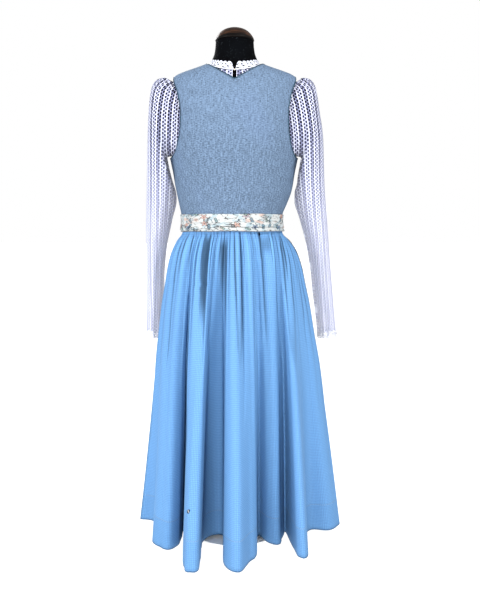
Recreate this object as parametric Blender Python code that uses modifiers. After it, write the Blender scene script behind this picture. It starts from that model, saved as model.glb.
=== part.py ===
"""A dirndl on a limbless dress form: bodice, gathered skirt, apron with its sash and a lace blouse.

Metres, +Z up. The origin is the middle of the stand's underside on the floor, and the front
of the garment faces -Y. Every cloth piece is a thin wall that follows the form or hangs from it.
"""
import math
from collections import namedtuple

import bmesh
import bpy
from mathutils import Vector

MM = 0.001

# Heights of the garment above the floor
HEM = 0.015
APRON_HEM = 0.072
WAIST_SEAM = 0.797
SASH_BOTTOM = 0.788
SASH_TOP = 0.831
BLOUSE_BOTTOM = 0.930
UNDERARM = 0.965
SHOULDER_TIP = 1.1555
NECK_SIDE = 1.1825
BODICE_NECK_SIDE = 1.1812
BACK_POINT = 1.1365
FRONT_POINT = 1.045

# How far each layer stands off the form, and how thick its cloth is
BLOUSE_LIFT = 0.6 * MM
FORM_SET_IN = 3.6 * MM
BLOUSE_CLOTH = 1.0 * MM
COLLAR_LIFT = 0.6 * MM
BODICE_LIFT = 4.9 * MM
BODICE_CLOTH = 1.5 * MM
SKIRT_LIFT = 3.6 * MM
SKIRT_CLOTH = 1.2 * MM
SASH_LIFT = 9.9 * MM
SASH_CLOTH = 1.5 * MM
APRON_LIFT = 10.3 * MM
APRON_CLOTH = 1.0 * MM
SEAM_GAP = 0.3 * MM
PIPING_RADIUS = 1.3 * MM

# The stand
POLE_RADIUS = 0.0125
BASE_RADIUS = 0.120
BASE_HEIGHT = 0.006
# The pole stands towards the back of its base, so that the skirt hides the base
BASE_MIDDLE_Y = -0.060
FORM_BOTTOM = 0.655
NECK_TOP = 1.2505
CAP_TOP = 1.276

Section = namedtuple("Section", "height half_width back front centre")
BODY = [
    Section(0.655, 0.143, 0.100, -0.100, 0.003),
    Section(0.700, 0.145, 0.101, -0.101, 0.003),
    Section(0.740, 0.136, 0.098, -0.097, 0.004),
    Section(0.785, 0.1185, 0.091, -0.089, 0.005),
    Section(0.812, 0.1155, 0.088, -0.087, 0.006),
    Section(0.833, 0.1185, 0.088, -0.090, 0.006),
    Section(0.852, 0.1245, 0.089, -0.096, 0.004),
    Section(0.892, 0.1360, 0.094, -0.112, 0.001),
    Section(0.934, 0.1430, 0.099, -0.131, 0.001),
    Section(0.966, 0.1495, 0.102, -0.140, 0.001),
    Section(1.000, 0.1540, 0.104, -0.139, 0.000),
    Section(1.050, 0.1552, 0.103, -0.121, -0.001),
    Section(1.090, 0.1555, 0.099, -0.104, -0.001),
    Section(1.120, 0.1545, 0.091, -0.090, -0.001),
    Section(1.140, 0.1520, 0.082, -0.079, -0.001),
    Section(1.150, 0.1475, 0.077, -0.074, -0.001),
    Section(1.158, 0.1370, 0.073, -0.070, -0.001),
    Section(1.166, 0.1160, 0.069, -0.066, -0.001),
    Section(1.174, 0.0915, 0.065, -0.062, -0.001),
    Section(1.1825, 0.0690, 0.061, -0.058, -0.001),
    Section(1.190, 0.0600, 0.058, -0.056, -0.001),
    Section(1.198, 0.0560, 0.054, -0.053, -0.001),
    Section(1.215, 0.0490, 0.048, -0.049, -0.001),
    Section(1.235, 0.0462, 0.046, -0.046, -0.001),
    Section(1.2505, 0.0455, 0.045, -0.045, -0.001),
]

# The armhole: how far round the body its edge reaches, in degrees from the side
ARMHOLE_REACH = 38.0
LOWER_ROUNDNESS = 0.5
UPPER_ROUNDNESS = 0.75
FRONT_SCOOP = 1.06
ARM_ROWS = 10
# The row that meets the underarm runs this much lower at the middle, clear below the armhole
ARMHOLE_SAG = 0.012

# Panel rows: below the underarm, in all, and the row at which the middle line reaches the neckline
BODICE_SIDE_ROWS = 6
BODICE_ROWS = ARM_ROWS + BODICE_SIDE_ROWS
BACK_NECK_ROW = 10
FRONT_NECK_ROW = 9
BACK_NECK_POWER = 1.0
FRONT_NECK_POWER = 1.25

# The front's buttons: height on the bodice, and how far each one's seat is let down to meet the cloth
BUTTON_ANGLE = -85.0
BUTTON_RADIUS = 5.5 * MM
BUTTON_HEIGHT = 2.4 * MM
Button = namedtuple("Button", "height sunk")
BUTTONS = [
    Button(0.860, 0.45 * MM),
    Button(0.900, 0.60 * MM),
    Button(0.940, 1.02 * MM),
    Button(0.980, 0.84 * MM),
    Button(1.020, 0.93 * MM),
]

# The blouse: its edges lie inside the bodice's, by degrees round the body and by height
BLOUSE_BACK_POINT = 1.163
BLOUSE_FRONT_POINT = 1.150
BLOUSE_NECK_POWER = 2.0
BLOUSE_SIDE_ROWS = 2
BLOUSE_NECK_ROW = 6
BLOUSE_TUCK = 2.4
BLOUSE_DROP = 3.0 * MM
SLEEVE_SEAM_TUCK = 1.5
SLEEVE_SEAM_DROP = 1.8 * MM
SLEEVE_TURN_TUCK = -4.5
SLEEVE_TURN_DROP = -7.0 * MM
BACK_SLIT_TOP = 4.6 * MM
BACK_SLIT_BELOW = 0.8 * MM
BACK_SLIT_FOOT = 1.130
COLLAR_BACK_TOP = 1.184
COLLAR_FRONT_TOP = 1.176
COLLAR_SIDE_TOP = 1.198
COLLAR_SCALLOPS = 20
COLLAR_SCALLOP = 0.8 * MM
NECK_BUTTON_RADIUS = 1.9 * MM
NECK_BUTTON_SEAT = 0.2 * MM

# The skirt's outer ring at the hem, and how quickly the skirt reaches it below the waist
RING_CENTRE_X = -0.0105
RING_CENTRE_Y = -0.050
RING_HALF_WIDTH = 0.2655
RING_BACK = 0.275
RING_FRONT = 0.187
Spread = namedtuple("Spread", "height share")
SPREAD = [
    Spread(HEM, 1.0), Spread(0.120, 0.90), Spread(0.220, 0.81), Spread(0.340, 0.70),
    Spread(0.450, 0.615), Spread(0.540, 0.52), Spread(0.600, 0.465), Spread(0.650, 0.40),
    Spread(0.700, 0.33), Spread(0.735, 0.25), Spread(0.765, 0.13), Spread(0.786, 0.008),
    Spread(WAIST_SEAM, 0.0),
]
FOLD_POWER = 1.1

# The hem line of the back and sides: place of each turn, and its angles at the waist and on the ring
Turn = namedtuple("Turn", "x y waist ring")
BACK_TURNS = [
    Turn(0.2545, -0.082, -14, -11),
    Turn(0.2200, -0.072, 4, 2),
    Turn(0.1930, -0.025, 12, 12),
    Turn(0.2062, 0.055, 20, 26),
    Turn(0.1650, 0.103, 32, 44),
    Turn(0.1380, 0.068, 42, 52),
    Turn(0.1325, -0.010, 49, 57),
    Turn(0.1175, 0.190, 56, 61),
    Turn(0.0990, 0.218, 62, 66),
    Turn(0.0810, 0.198, 68, 70),
    Turn(0.0780, 0.048, 76, 73),
    Turn(0.0290, 0.026, 82, 80),
    Turn(0.0240, 0.172, 87, 84),
    Turn(-0.0115, 0.218, 95, 90),
    Turn(-0.0360, 0.165, 102, 96),
    Turn(-0.0530, 0.133, 108, 100),
    Turn(-0.0590, 0.018, 112, 104),
    Turn(-0.0840, 0.061, 120, 108),
    Turn(-0.1130, 0.071, 134, 113),
    Turn(-0.1290, -0.004, 146, 117),
    Turn(-0.1430, 0.090, 154, 121),
    Turn(-0.1570, 0.142, 160, 125),
    Turn(-0.1750, 0.134, 166, 130),
    Turn(-0.1900, -0.006, 173, 140),
    Turn(-0.2460, -0.012, 184, 160),
    Turn(-0.2755, -0.060, 194, 183),
]
FRONT_FLUTES = 8
FRONT_FLUTE_DEPTH = 0.055
FRONT_START = 197.0
FRONT_END = 345.0
SKIRT_GATHERS = 37
COLUMNS_IN_A_GATHER = 4
SKIRT_ROWS = [WAIST_SEAM, 0.786, 0.765, 0.730, 0.670, 0.570, 0.400, 0.200, HEM]

# A small tear in the skirt's second back fold
TEAR_X = 0.1045
TEAR_HEIGHT = 0.152
TEAR_WIDTH = 0.0055
TEAR_LENGTH = 0.0085

# The left sleeve: its outer and inner line seen from behind, and its middle and depth seen from the side
Cuffward = namedtuple("Cuffward", "outer_x outer_z inner_x inner_z middle_y half_depth")
SLEEVE = [
    Cuffward(0.1690, 1.1570, 0.1640, 0.9700, 0.000, 0.065),
    Cuffward(0.1860, 1.1530, 0.1690, 0.9600, 0.000, 0.070),
    Cuffward(0.1970, 1.1400, 0.1710, 0.9510, -0.002, 0.073),
    Cuffward(0.2035, 1.1170, 0.1720, 0.9410, -0.005, 0.076),
    Cuffward(0.2085, 1.0750, 0.1700, 0.9290, -0.010, 0.077),
    Cuffward(0.2130, 1.0150, 0.1630, 0.9130, -0.018, 0.075),
    Cuffward(0.2170, 0.9450, 0.1540, 0.8930, -0.030, 0.071),
    Cuffward(0.2205, 0.8750, 0.1510, 0.8600, -0.042, 0.067),
    Cuffward(0.2240, 0.8150, 0.1600, 0.8150, -0.054, 0.062),
    Cuffward(0.2265, 0.7550, 0.1740, 0.7550, -0.070, 0.058),
    Cuffward(0.2290, 0.6900, 0.1830, 0.6900, -0.088, 0.054),
    Cuffward(0.2325, 0.6000, 0.1890, 0.6000, -0.110, 0.050),
    Cuffward(0.2350, 0.5270, 0.1940, 0.5270, -0.124, 0.044),
]
CUFF_HEIGHT = 0.020
SLEEVE_COLUMNS = 20
HEAD_GATHER = 2.0 * MM
RIGHT_SWING = 0.033
RIGHT_FULLNESS = 0.005

# The apron's panel on the front, and its gathers
APRON_START = 200.0
APRON_END = 340.0
APRON_FLUTES = 12
APRON_TOP_FLUTE = 1.2 * MM
APRON_FLARE = 6.5 * MM
APRON_OFF_SKIRT = 5.0 * MM
APRON_ROWS = [SASH_BOTTOM - SEAM_GAP, 0.765, 0.710, 0.600, 0.430, 0.250, APRON_HEM]

# The sash's drawn-in creases, as lifts of its five rows
SASH_ROW_LIFTS = (0.0, 0.9 * MM, -0.1 * MM, 0.8 * MM, 0.0)
SASH_WANDER = 1.2 * MM
SASH_LEAN = 1.6 * MM

# The bow on the sash, at the wearer's left front
BOW_ANGLE = -72.0
BOW_LIFT = 8.8 * MM
KNOT_RADIUS = 0.011
KNOT_OUT = 0.0105
KNOT_DEEP = 0.75
KNOT_TALL = 1.45
LOOP_START = 0.01028
LOOP_LENGTH = 0.080
LOOP_HEIGHT = 0.044
LOOP_OUT = 0.016
LOOP_HALF_DEPTH = 7.5 * MM
LOOP_PINCH = 0.35
LOOP_CURVE = 2.2
TAIL_LENGTH = 0.235
TAIL_WIDTH = 0.034
TAIL_UNEVEN = 0.020
TAIL_NARROW = 0.4
TAIL_START = 0.0076
TAIL_DROP = 0.0167
TAIL_SPREAD = 0.034
TAIL_OUT = 18.5 * MM
TAIL_TUCK = 6.0 * MM
TAIL_FLARE = 9.5 * MM
TAIL_CURL = 1.5 * MM
WAIST_REACH = 0.12

Finish = namedtuple("Finish", "colour roughness metallic")
CHAMBRAY = Finish((0.27, 0.42, 0.61), 0.85, 0.0)
SKIRT_COTTON = Finish((0.22, 0.47, 0.83), 0.8, 0.0)
PRINT_COTTON = Finish((0.72, 0.76, 0.76), 0.8, 0.0)
LACE = Finish((0.72, 0.74, 0.85), 0.85, 0.0)
PIPING_SATIN = Finish((0.015, 0.035, 0.055), 0.6, 0.0)
FORM_COVER = Finish((0.006, 0.009, 0.013), 0.9, 0.0)
DARK_WOOD = Finish((0.09, 0.045, 0.025), 0.45, 0.0)
PALE_LACQUER = Finish((0.86, 0.86, 0.85), 0.4, 0.0)
HORN = Finish((0.62, 0.60, 0.56), 0.35, 0.0)


class SmoothTable:
    """Smooth values between the rows of a table, which never swing past a row."""

    def __init__(self, rows, key):
        self.rows = sorted(rows, key=lambda row: getattr(row, key))
        self.keys = [getattr(row, key) for row in self.rows]
        self.names = [name for name in self.rows[0]._fields if name != key]
        self.slopes = {name: self._slopes(name) for name in self.names}

    def _slopes(self, name):
        values = [getattr(row, name) for row in self.rows]
        steps = []
        for index in range(len(values) - 1):
            steps.append((values[index + 1] - values[index]) / (self.keys[index + 1] - self.keys[index]))
        slopes = [steps[0]]
        for before, after in zip(steps, steps[1:]):
            slopes.append(2 * before * after / (before + after) if before * after > 0 else 0.0)
        slopes.append(steps[-1])
        return slopes

    def at(self, key, name):
        key = min(max(key, self.keys[0]), self.keys[-1])
        index = 0
        while index < len(self.keys) - 2 and key > self.keys[index + 1]:
            index += 1
        span = self.keys[index + 1] - self.keys[index]
        t = (key - self.keys[index]) / span
        start = getattr(self.rows[index], name)
        end = getattr(self.rows[index + 1], name)
        slopes = self.slopes[name]
        return ((2 * t ** 3 - 3 * t ** 2 + 1) * start + (t ** 3 - 2 * t ** 2 + t) * span * slopes[index]
                + (3 * t ** 2 - 2 * t ** 3) * end + (t ** 3 - t ** 2) * span * slopes[index + 1])


BODY_TABLE = SmoothTable(BODY, "height")
SPREAD_TABLE = SmoothTable(SPREAD, "height")


def body_point(angle, height):
    """A point of the form's surface; 0 degrees is the wearer's left side and 90 the back."""
    depth = BODY_TABLE.at(height, "back") if math.sin(angle) >= 0 else -BODY_TABLE.at(height, "front")
    x = BODY_TABLE.at(height, "centre") + BODY_TABLE.at(height, "half_width") * math.cos(angle)
    return Vector((x, depth * math.sin(angle), height))


def body_normal(angle, height):
    step = 0.0005
    around = body_point(angle + step, height) - body_point(angle - step, height)
    up = body_point(angle, height + step) - body_point(angle, height - step)
    return around.cross(up).normalized()


def skin(degrees, height, lift):
    """A point that stands off the form by lift."""
    angle = math.radians(degrees)
    return body_point(angle, height) + body_normal(angle, height) * lift


def angle_for(share, height, top):
    """The angle at which the form is that share of its half width at the neckline's top."""
    reach = share * BODY_TABLE.at(top, "half_width") / BODY_TABLE.at(height, "half_width")
    return math.degrees(math.acos(min(1.0, reach)))


def sampled(path, lift, fraction):
    """The place at a fraction of the length of a path of (degrees, height) pairs."""
    points = [skin(degrees, height, lift) for degrees, height in path]
    lengths = [0.0]
    for before, after in zip(points, points[1:]):
        lengths.append(lengths[-1] + (after - before).length)
    wanted = fraction * lengths[-1]
    index = 0
    while index < len(lengths) - 2 and wanted > lengths[index + 1]:
        index += 1
    t = (wanted - lengths[index]) / (lengths[index + 1] - lengths[index])
    start, end = path[index], path[index + 1]
    return (start[0] + (end[0] - start[0]) * t, start[1] + (end[1] - start[1]) * t)


def between(start, end, steps):
    return [start + (end - start) * index / steps for index in range(steps + 1)]


def neckline(point, power, sign, top):
    """From the middle of the neckline to the side of the neck, as (degrees, height) pairs."""
    path = []
    for share in between(0.0, 1.0, 12):
        height = point + (top - point) * share ** power
        path.append((sign * angle_for(share, height, top), height))
    return path


def armhole_point(turn, sign, extra=0.0, drop=0.0):
    """A place on the armhole, from turn 0 at the underarm to 1 at the shoulder tip."""
    around = math.sin(math.pi * turn)
    roundness = LOWER_ROUNDNESS if turn < 0.5 else UPPER_ROUNDNESS
    reach = max(around, 0.0) ** roundness
    scoop = 1.0 if sign > 0 else FRONT_SCOOP
    height = UNDERARM + (SHOULDER_TIP - UNDERARM) * (1 - math.cos(math.pi * turn)) / 2
    degrees = 0.5 + (ARMHOLE_REACH * scoop + extra) * reach
    return (sign * degrees, height - drop * math.cos(math.pi * turn))


def even_turns():
    """The turns that part the armhole's edge into rows of one length."""
    fine = [index / 200 for index in range(201)]
    points = [skin(*armhole_point(turn, 1), BODICE_LIFT) for turn in fine]
    lengths = [0.0]
    for before, after in zip(points, points[1:]):
        lengths.append(lengths[-1] + (after - before).length)
    turns = []
    for row in range(ARM_ROWS + 1):
        wanted = lengths[-1] * row / ARM_ROWS
        nearest = min(range(len(fine)), key=lambda index: abs(lengths[index] - wanted))
        turns.append(fine[nearest])
    return turns


ARM_TURNS = even_turns()


def outer_edge(bottom, sign, side_rows, extra=0.0, drop=0.0):
    """The side seam and the armhole, one (degrees, height) pair for each row of a panel."""
    seam = [(sign * 0.5, height) for height in between(bottom, UNDERARM - drop, side_rows)]
    return seam[:-1] + [armhole_point(turn, sign, extra, drop) for turn in ARM_TURNS]


def inner_edge(bottom, point, power, sign, neck_row, side_rows, lift, top):
    """The middle line and the neckline, one (degrees, height) pair for each row of a panel."""
    low = [(sign * 90.0, height) for height in between(bottom, UNDERARM - ARMHOLE_SAG, side_rows)]
    high = [(sign * 90.0, height) for height in between(UNDERARM - ARMHOLE_SAG, point, neck_row - side_rows)]
    edge = neckline(point, power, sign, top)
    steps = side_rows + ARM_ROWS - neck_row
    return low[:-1] + high[:-1] + [sampled(edge, lift, step / steps) for step in range(steps + 1)]


def mirrored(place):
    def other_side(u, v):
        point = place(1 - u, v)
        return Vector((2 * BODY_TABLE.at(point.z, "centre") - point.x, point.y, point.z))
    return other_side


def half_panel(inner, outer, lift, sign, neck_row, middle_gap=0.0):
    """A ruled patch from the middle line out to the side, with one row for each pair of its edges."""
    rows = len(inner) - 1

    def place(u, v):
        row = round(v * rows)
        across = 1 - u if sign > 0 else u
        degrees = inner[row][0] + (outer[row][0] - inner[row][0]) * across
        height = inner[row][1] + (outer[row][1] - inner[row][1]) * across
        point = skin(degrees, height, lift)
        point.y += sign * SEAM_GAP / 2
        if across < 0.001 and row <= neck_row:
            point.x = BODY_TABLE.at(point.z, "centre")
        point.x += middle_gap * (1 - across) ** 2
        return point
    return place


def material(name, finish):
    made = bpy.data.materials.get(name)
    if made is None:
        made = bpy.data.materials.new(name)
        made.use_nodes = True
        shader = made.node_tree.nodes["Principled BSDF"]
        shader.inputs["Base Color"].default_value = (*finish.colour, 1.0)
        shader.inputs["Roughness"].default_value = finish.roughness
        shader.inputs["Metallic"].default_value = finish.metallic
    return made


def add_object(name, data, finish_name, finish):
    made = bpy.data.objects.new(name, data)
    data.materials.append(material(finish_name, finish))
    collection.objects.link(made)
    return made


def wall(name, patches, columns, rows, thickness, finish_name, finish, closed=False):
    """A cloth wall: grids whose points are placed by a rule, merged, then thickened outwards."""
    shape = bmesh.new()
    for place in patches:
        grid = bmesh.ops.create_grid(shape, x_segments=columns, y_segments=rows, size=0.5)
        for vertex in grid["verts"]:
            vertex.co = place(vertex.co.x + 0.5, vertex.co.y + 0.5)
    bmesh.ops.remove_doubles(shape, verts=shape.verts, dist=1e-6)
    mesh = bpy.data.meshes.new(name)
    shape.to_mesh(mesh)
    shape.free()
    made = add_object(name, mesh, finish_name, finish)
    if not closed:
        thicken = made.modifiers.new("Cloth", "SOLIDIFY")
        thicken.thickness = thickness
        thicken.offset = 1.0
    mesh.shade_smooth()
    return made


def cord(name, points, radius, finish_name, finish, cyclic):
    """A thin round piece along a list of points."""
    curve = bpy.data.curves.new(name, "CURVE")
    curve.dimensions = "3D"
    curve.bevel_depth = radius
    curve.bevel_resolution = 1
    curve.use_fill_caps = True
    spline = curve.splines.new("POLY")
    spline.points.add(len(points) - 1)
    for target, point in zip(spline.points, points):
        target.co = (*point, 1.0)
    spline.use_cyclic_u = cyclic
    return add_object(name, curve, finish_name, finish)


def turned(name, profile, finish_name, finish, steps):
    """A round piece from a profile of (radius, height) pairs, run down its outer side."""
    mesh = bpy.data.meshes.new(name)
    shape = bmesh.new()
    points = [shape.verts.new((radius, 0.0, height)) for radius, height in profile]
    for before, after in zip(points, points[1:]):
        shape.edges.new((before, after))
    shape.to_mesh(mesh)
    shape.free()
    made = add_object(name, mesh, finish_name, finish)
    screw = made.modifiers.new("Turned", "SCREW")
    screw.steps = steps
    screw.render_steps = steps
    screw.use_merge_vertices = True
    screw.merge_threshold = 0.00005
    screw.use_smooth_shade = True
    return made


# The form and its stand


def make_form():
    def place(u, v):
        if v < 0.5 / rows:
            return Vector((BODY[0].centre, 0.0, FORM_BOTTOM))
        if v > 1 - 0.5 / rows:
            return Vector((BODY[-1].centre, 0.0, NECK_TOP))
        share = (v * rows - 1) / (rows - 2)
        height = form_rows[round(share * (rows - 2))]
        covered = min(max((1.195 - height) / 0.025, 0.0), 1.0)
        return skin(360.0 * u, height, -FORM_SET_IN * covered)

    form_rows = [FORM_BOTTOM, 0.700, 0.745, 0.785, 0.812, 0.850, 0.910, 0.970, 1.030,
                 1.090, 1.130, 1.149, 1.160, 1.171, 1.1825, 1.192, 1.212, NECK_TOP]
    rows = len(form_rows) + 1
    wall("form_torso", [place], 26, rows, 0.0, "FormCover", FORM_COVER, closed=True)
    cap_bottom = NECK_TOP + SEAM_GAP
    profile = [(0.0, CAP_TOP), (0.0165, CAP_TOP - 0.0008), (0.030, CAP_TOP - 0.0038),
               (0.0385, CAP_TOP - 0.009), (0.0438, CAP_TOP - 0.0155), (0.0458, CAP_TOP - 0.022),
               (0.0456, cap_bottom), (0.0, cap_bottom)]
    cap = turned("form_cap", profile, "DarkWood", DARK_WOOD, 22)
    cap.location.x = BODY[-1].centre


def make_stand():
    bpy.ops.mesh.primitive_cylinder_add(vertices=36, radius=BASE_RADIUS, depth=BASE_HEIGHT,
                                        location=(0.0, BASE_MIDDLE_Y, BASE_HEIGHT / 2))
    take("form_base", "PaleLacquer", PALE_LACQUER)
    bottom = BASE_HEIGHT + SEAM_GAP
    top = FORM_BOTTOM - SEAM_GAP
    bpy.ops.mesh.primitive_cylinder_add(vertices=14, radius=POLE_RADIUS, depth=top - bottom,
                                        location=(0.0, 0.0, (top + bottom) / 2))
    take("form_pole", "PaleLacquer", PALE_LACQUER)


def take(name, finish_name, finish):
    """Name the piece that was just added, and move it to the garment's collection."""
    made = bpy.context.active_object
    made.name = name
    made.data.name = name
    made.data.materials.append(material(finish_name, finish))
    for owner in list(made.users_collection):
        owner.objects.unlink(made)
    collection.objects.link(made)
    return made


# The bodice


def bodice_edges(sign):
    """The inner and outer edges of the back (1) or of one front (-1), as (degrees, height) pairs."""
    bottom = WAIST_SEAM + SEAM_GAP
    back = (BACK_POINT, BACK_NECK_POWER, BACK_NECK_ROW)
    point, power, row = back if sign > 0 else (FRONT_POINT, FRONT_NECK_POWER, FRONT_NECK_ROW)
    inner = inner_edge(bottom, point, power, sign, row, BODICE_SIDE_ROWS, BODICE_LIFT, BODICE_NECK_SIDE)
    return inner, outer_edge(bottom, sign, BODICE_SIDE_ROWS)


def bodice_back():
    return half_panel(*bodice_edges(1), BODICE_LIFT, 1, BACK_NECK_ROW)


def bodice_front():
    return half_panel(*bodice_edges(-1), BODICE_LIFT, -1, FRONT_NECK_ROW, SEAM_GAP)


def make_bodice():
    columns = 6
    back = bodice_back()
    front = bodice_front()
    wall("bodice_back", [back, mirrored(back)], columns, BODICE_ROWS, BODICE_CLOTH, "Chambray", CHAMBRAY)
    wall("bodice_front_left", [front], columns, BODICE_ROWS, BODICE_CLOTH, "Chambray", CHAMBRAY)
    wall("bodice_front_right", [mirrored(front)], columns, BODICE_ROWS, BODICE_CLOTH, "Chambray", CHAMBRAY)


def beside_edge(pairs, lift, out):
    """Points along a panel's edge, lifted off the form and moved out past the edge."""
    points = [skin(degrees, height, lift) for degrees, height in pairs]
    moved = []
    for index, (degrees, height) in enumerate(pairs):
        before = points[max(index - 1, 0)]
        after = points[min(index + 1, len(points) - 1)]
        away = (after - before).normalized().cross(body_normal(math.radians(degrees), height))
        moved.append(points[index] + away * out)
    return moved


def slid_to(point, following, x):
    """The place on the line from point to following that lies at x."""
    return point + (following - point) * (x - point.x) / (following.x - point.x)


def make_pipings():
    lift = BODICE_LIFT + BODICE_CLOTH * 0.7
    out = PIPING_RADIUS + 0.7 * MM
    back_inner, back_outer = bodice_edges(1)
    front_inner, front_outer = bodice_edges(-1)
    back_neck = beside_edge(back_inner[BACK_NECK_ROW:], lift, out)
    front_neck = beside_edge(front_inner[FRONT_NECK_ROW:], lift, -out)
    centre = BODY_TABLE.at(BACK_POINT, "centre")
    back_neck[0].x = centre
    back_neck[0].z += 0.8 * MM
    front_neck[0] = slid_to(front_neck[0], front_neck[1], centre + PIPING_RADIUS + 0.6 * MM)
    left = front_neck + list(reversed(back_neck))[1:]
    right = [Vector((2 * centre - point.x, point.y, point.z)) for point in reversed(left)]
    cord("neck_piping", left + right[1:], PIPING_RADIUS, "PipingSatin", PIPING_SATIN, False)
    back_arm = beside_edge(back_outer[BODICE_SIDE_ROWS:], lift, -out)
    front_arm = beside_edge(front_outer[BODICE_SIDE_ROWS:], lift, out)
    loop = back_arm + list(reversed(front_arm))[1:-1]
    cord("armhole_piping_left", loop, PIPING_RADIUS, "PipingSatin", PIPING_SATIN, True)
    other = [Vector((2 * BODY_TABLE.at(point.z, "centre") - point.x, point.y, point.z)) for point in loop]
    cord("armhole_piping_right", other, PIPING_RADIUS, "PipingSatin", PIPING_SATIN, True)


def make_buttons():
    clear = BODICE_LIFT + BODICE_CLOTH + SEAM_GAP * 2
    for index, button in enumerate(BUTTONS):
        normal = body_normal(math.radians(BUTTON_ANGLE), button.height)
        seat = skin(BUTTON_ANGLE, button.height, clear - button.sunk + BUTTON_HEIGHT / 2)
        bpy.ops.mesh.primitive_cylinder_add(vertices=14, radius=BUTTON_RADIUS, depth=BUTTON_HEIGHT,
                                            location=seat,
                                            rotation=normal.to_track_quat("Z", "Y").to_euler())
        take(f"bodice_button_{index + 1}", "Horn", HORN)


# The blouse


def blouse_half(point, sign):
    inner = inner_edge(BLOUSE_BOTTOM, point, BLOUSE_NECK_POWER, sign, BLOUSE_NECK_ROW, BLOUSE_SIDE_ROWS,
                       BLOUSE_LIFT, NECK_SIDE)
    outer = outer_edge(BLOUSE_BOTTOM, sign, BLOUSE_SIDE_ROWS, BLOUSE_TUCK, BLOUSE_DROP)
    return half_panel(inner, outer, BLOUSE_LIFT, sign, BLOUSE_NECK_ROW)


def make_blouse():
    columns = 5
    rows = ARM_ROWS + BLOUSE_SIDE_ROWS
    back = blouse_half(BLOUSE_BACK_POINT, 1)

    def slit(u, v):
        point = back(u, v)
        reach = max(0.0, u - 0.6) / 0.4
        point.x += (BACK_SLIT_TOP if point.z > BACK_SLIT_FOOT else BACK_SLIT_BELOW) * reach
        return point
    wall("blouse_back_left", [slit], columns, rows, BLOUSE_CLOTH, "Lace", LACE)
    wall("blouse_back_right", [mirrored(slit)], columns, rows, BLOUSE_CLOTH, "Lace", LACE)
    front = blouse_half(BLOUSE_FRONT_POINT, -1)
    wall("blouse_front", [front, mirrored(front)], columns, rows, BLOUSE_CLOTH, "Lace", LACE)


def collar_place(u, v):
    """The standing collar, from one side of the back opening round the front to the other."""
    gap = 1.3 + 4.2 * v
    around = 90.0 + gap + (360.0 - 2 * gap) * u
    share = abs(math.cos(math.radians(around)))
    back = math.sin(math.radians(around)) >= 0
    foot = BLOUSE_BACK_POINT if back else BLOUSE_FRONT_POINT
    rim = COLLAR_BACK_TOP if back else COLLAR_FRONT_TOP
    low = foot + (NECK_SIDE - foot) * share ** BLOUSE_NECK_POWER + 1.0 * MM
    high = rim + (COLLAR_SIDE_TOP - rim) * share ** BLOUSE_NECK_POWER
    scallop = COLLAR_SCALLOP * math.cos(2 * math.pi * COLLAR_SCALLOPS * u) * max(0.0, 2 * v - 1)
    first = angle_for(share, low, NECK_SIDE)
    start = first if math.cos(math.radians(around)) >= 0 else 180.0 - first
    if not back:
        start = 360.0 - start
    wanted = around if around < 360.0 else around - 360.0
    if abs(start - wanted) > 180.0:
        start += 360.0 if wanted > start else -360.0
    return skin(start + (wanted - start) * v, low + (high - low) * v + scallop, COLLAR_LIFT)


def make_collar():
    wall("collar", [collar_place], COLLAR_SCALLOPS * 2, 2, BLOUSE_CLOTH, "Lace", LACE)
    seat = skin(90.0, BLOUSE_BACK_POINT, BLOUSE_LIFT + NECK_BUTTON_RADIUS + NECK_BUTTON_SEAT)
    bpy.ops.mesh.primitive_uv_sphere_add(segments=10, ring_count=6, radius=NECK_BUTTON_RADIUS, location=seat)
    take("neck_button", "Horn", HORN)


def swing(height):
    """How much further out the right sleeve hangs than the left one."""
    low = min(max((0.95 - height) / 0.42, 0.0), 1.0)
    full = min(max((1.10 - height) / 0.08, 0.0), 1.0)
    return RIGHT_SWING * low ** 1.5 + (RIGHT_FULLNESS + 0.003) * full - 0.003


def sleeve_ring(row, degrees, side):
    """A point of one sleeve section; 0 degrees is its outer line and 90 its back."""
    angle = math.radians(degrees)
    outer = Vector((row.outer_x, row.middle_y, row.outer_z))
    inner = Vector((row.inner_x, row.middle_y, row.inner_z))
    if side < 0:
        outer.x += swing(row.outer_z)
        inner.x += swing(row.outer_z) * 0.7
    middle = (outer + inner) / 2
    point = middle + (outer - middle) * math.cos(angle)
    point.y += row.half_depth * math.sin(angle)
    point.x *= side
    return point


def armhole_ring(degrees, extra, drop, lift):
    """A point of the sleeve's seam; 0 degrees is the shoulder tip and 90 the back."""
    wrapped = degrees % 360.0
    sign = 1 if wrapped <= 180.0 else -1
    share = (180.0 - wrapped if sign > 0 else wrapped - 180.0) / 180.0
    place = armhole_point(ARM_TURNS[round(share * ARM_ROWS)], sign, extra, drop)
    return skin(place[0], place[1], lift)


def sleeve_rows():
    return len(SLEEVE) + 1


def sleeve_place(side):
    rows = sleeve_rows()

    def place(u, v):
        row = round(v * rows)
        column = round(u * SLEEVE_COLUMNS)
        degrees = -360.0 * u if side > 0 else 360.0 * u
        if row == rows:
            point = armhole_ring(degrees, SLEEVE_SEAM_TUCK, SLEEVE_SEAM_DROP, BLOUSE_LIFT)
        elif row == rows - 1:
            point = armhole_ring(degrees, SLEEVE_TURN_TUCK, SLEEVE_TURN_DROP, BLOUSE_LIFT)
        else:
            section = SLEEVE[rows - 2 - row]
            point = sleeve_ring(section, degrees, side)
            middle = sleeve_ring(section, 0.0, side) / 2 + sleeve_ring(section, 180.0, side) / 2
            from_head = max(0.0, 1.0 - (rows - 2 - row) / 8.0) * max(0.0, math.cos(math.radians(degrees) / 2))
            ripple = HEAD_GATHER * from_head * (1 if column % 2 else -1)
            return point + (point - middle).normalized() * ripple
        if side < 0:
            point.x = 2 * BODY_TABLE.at(point.z, "centre") - point.x
        return point
    return place


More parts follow.
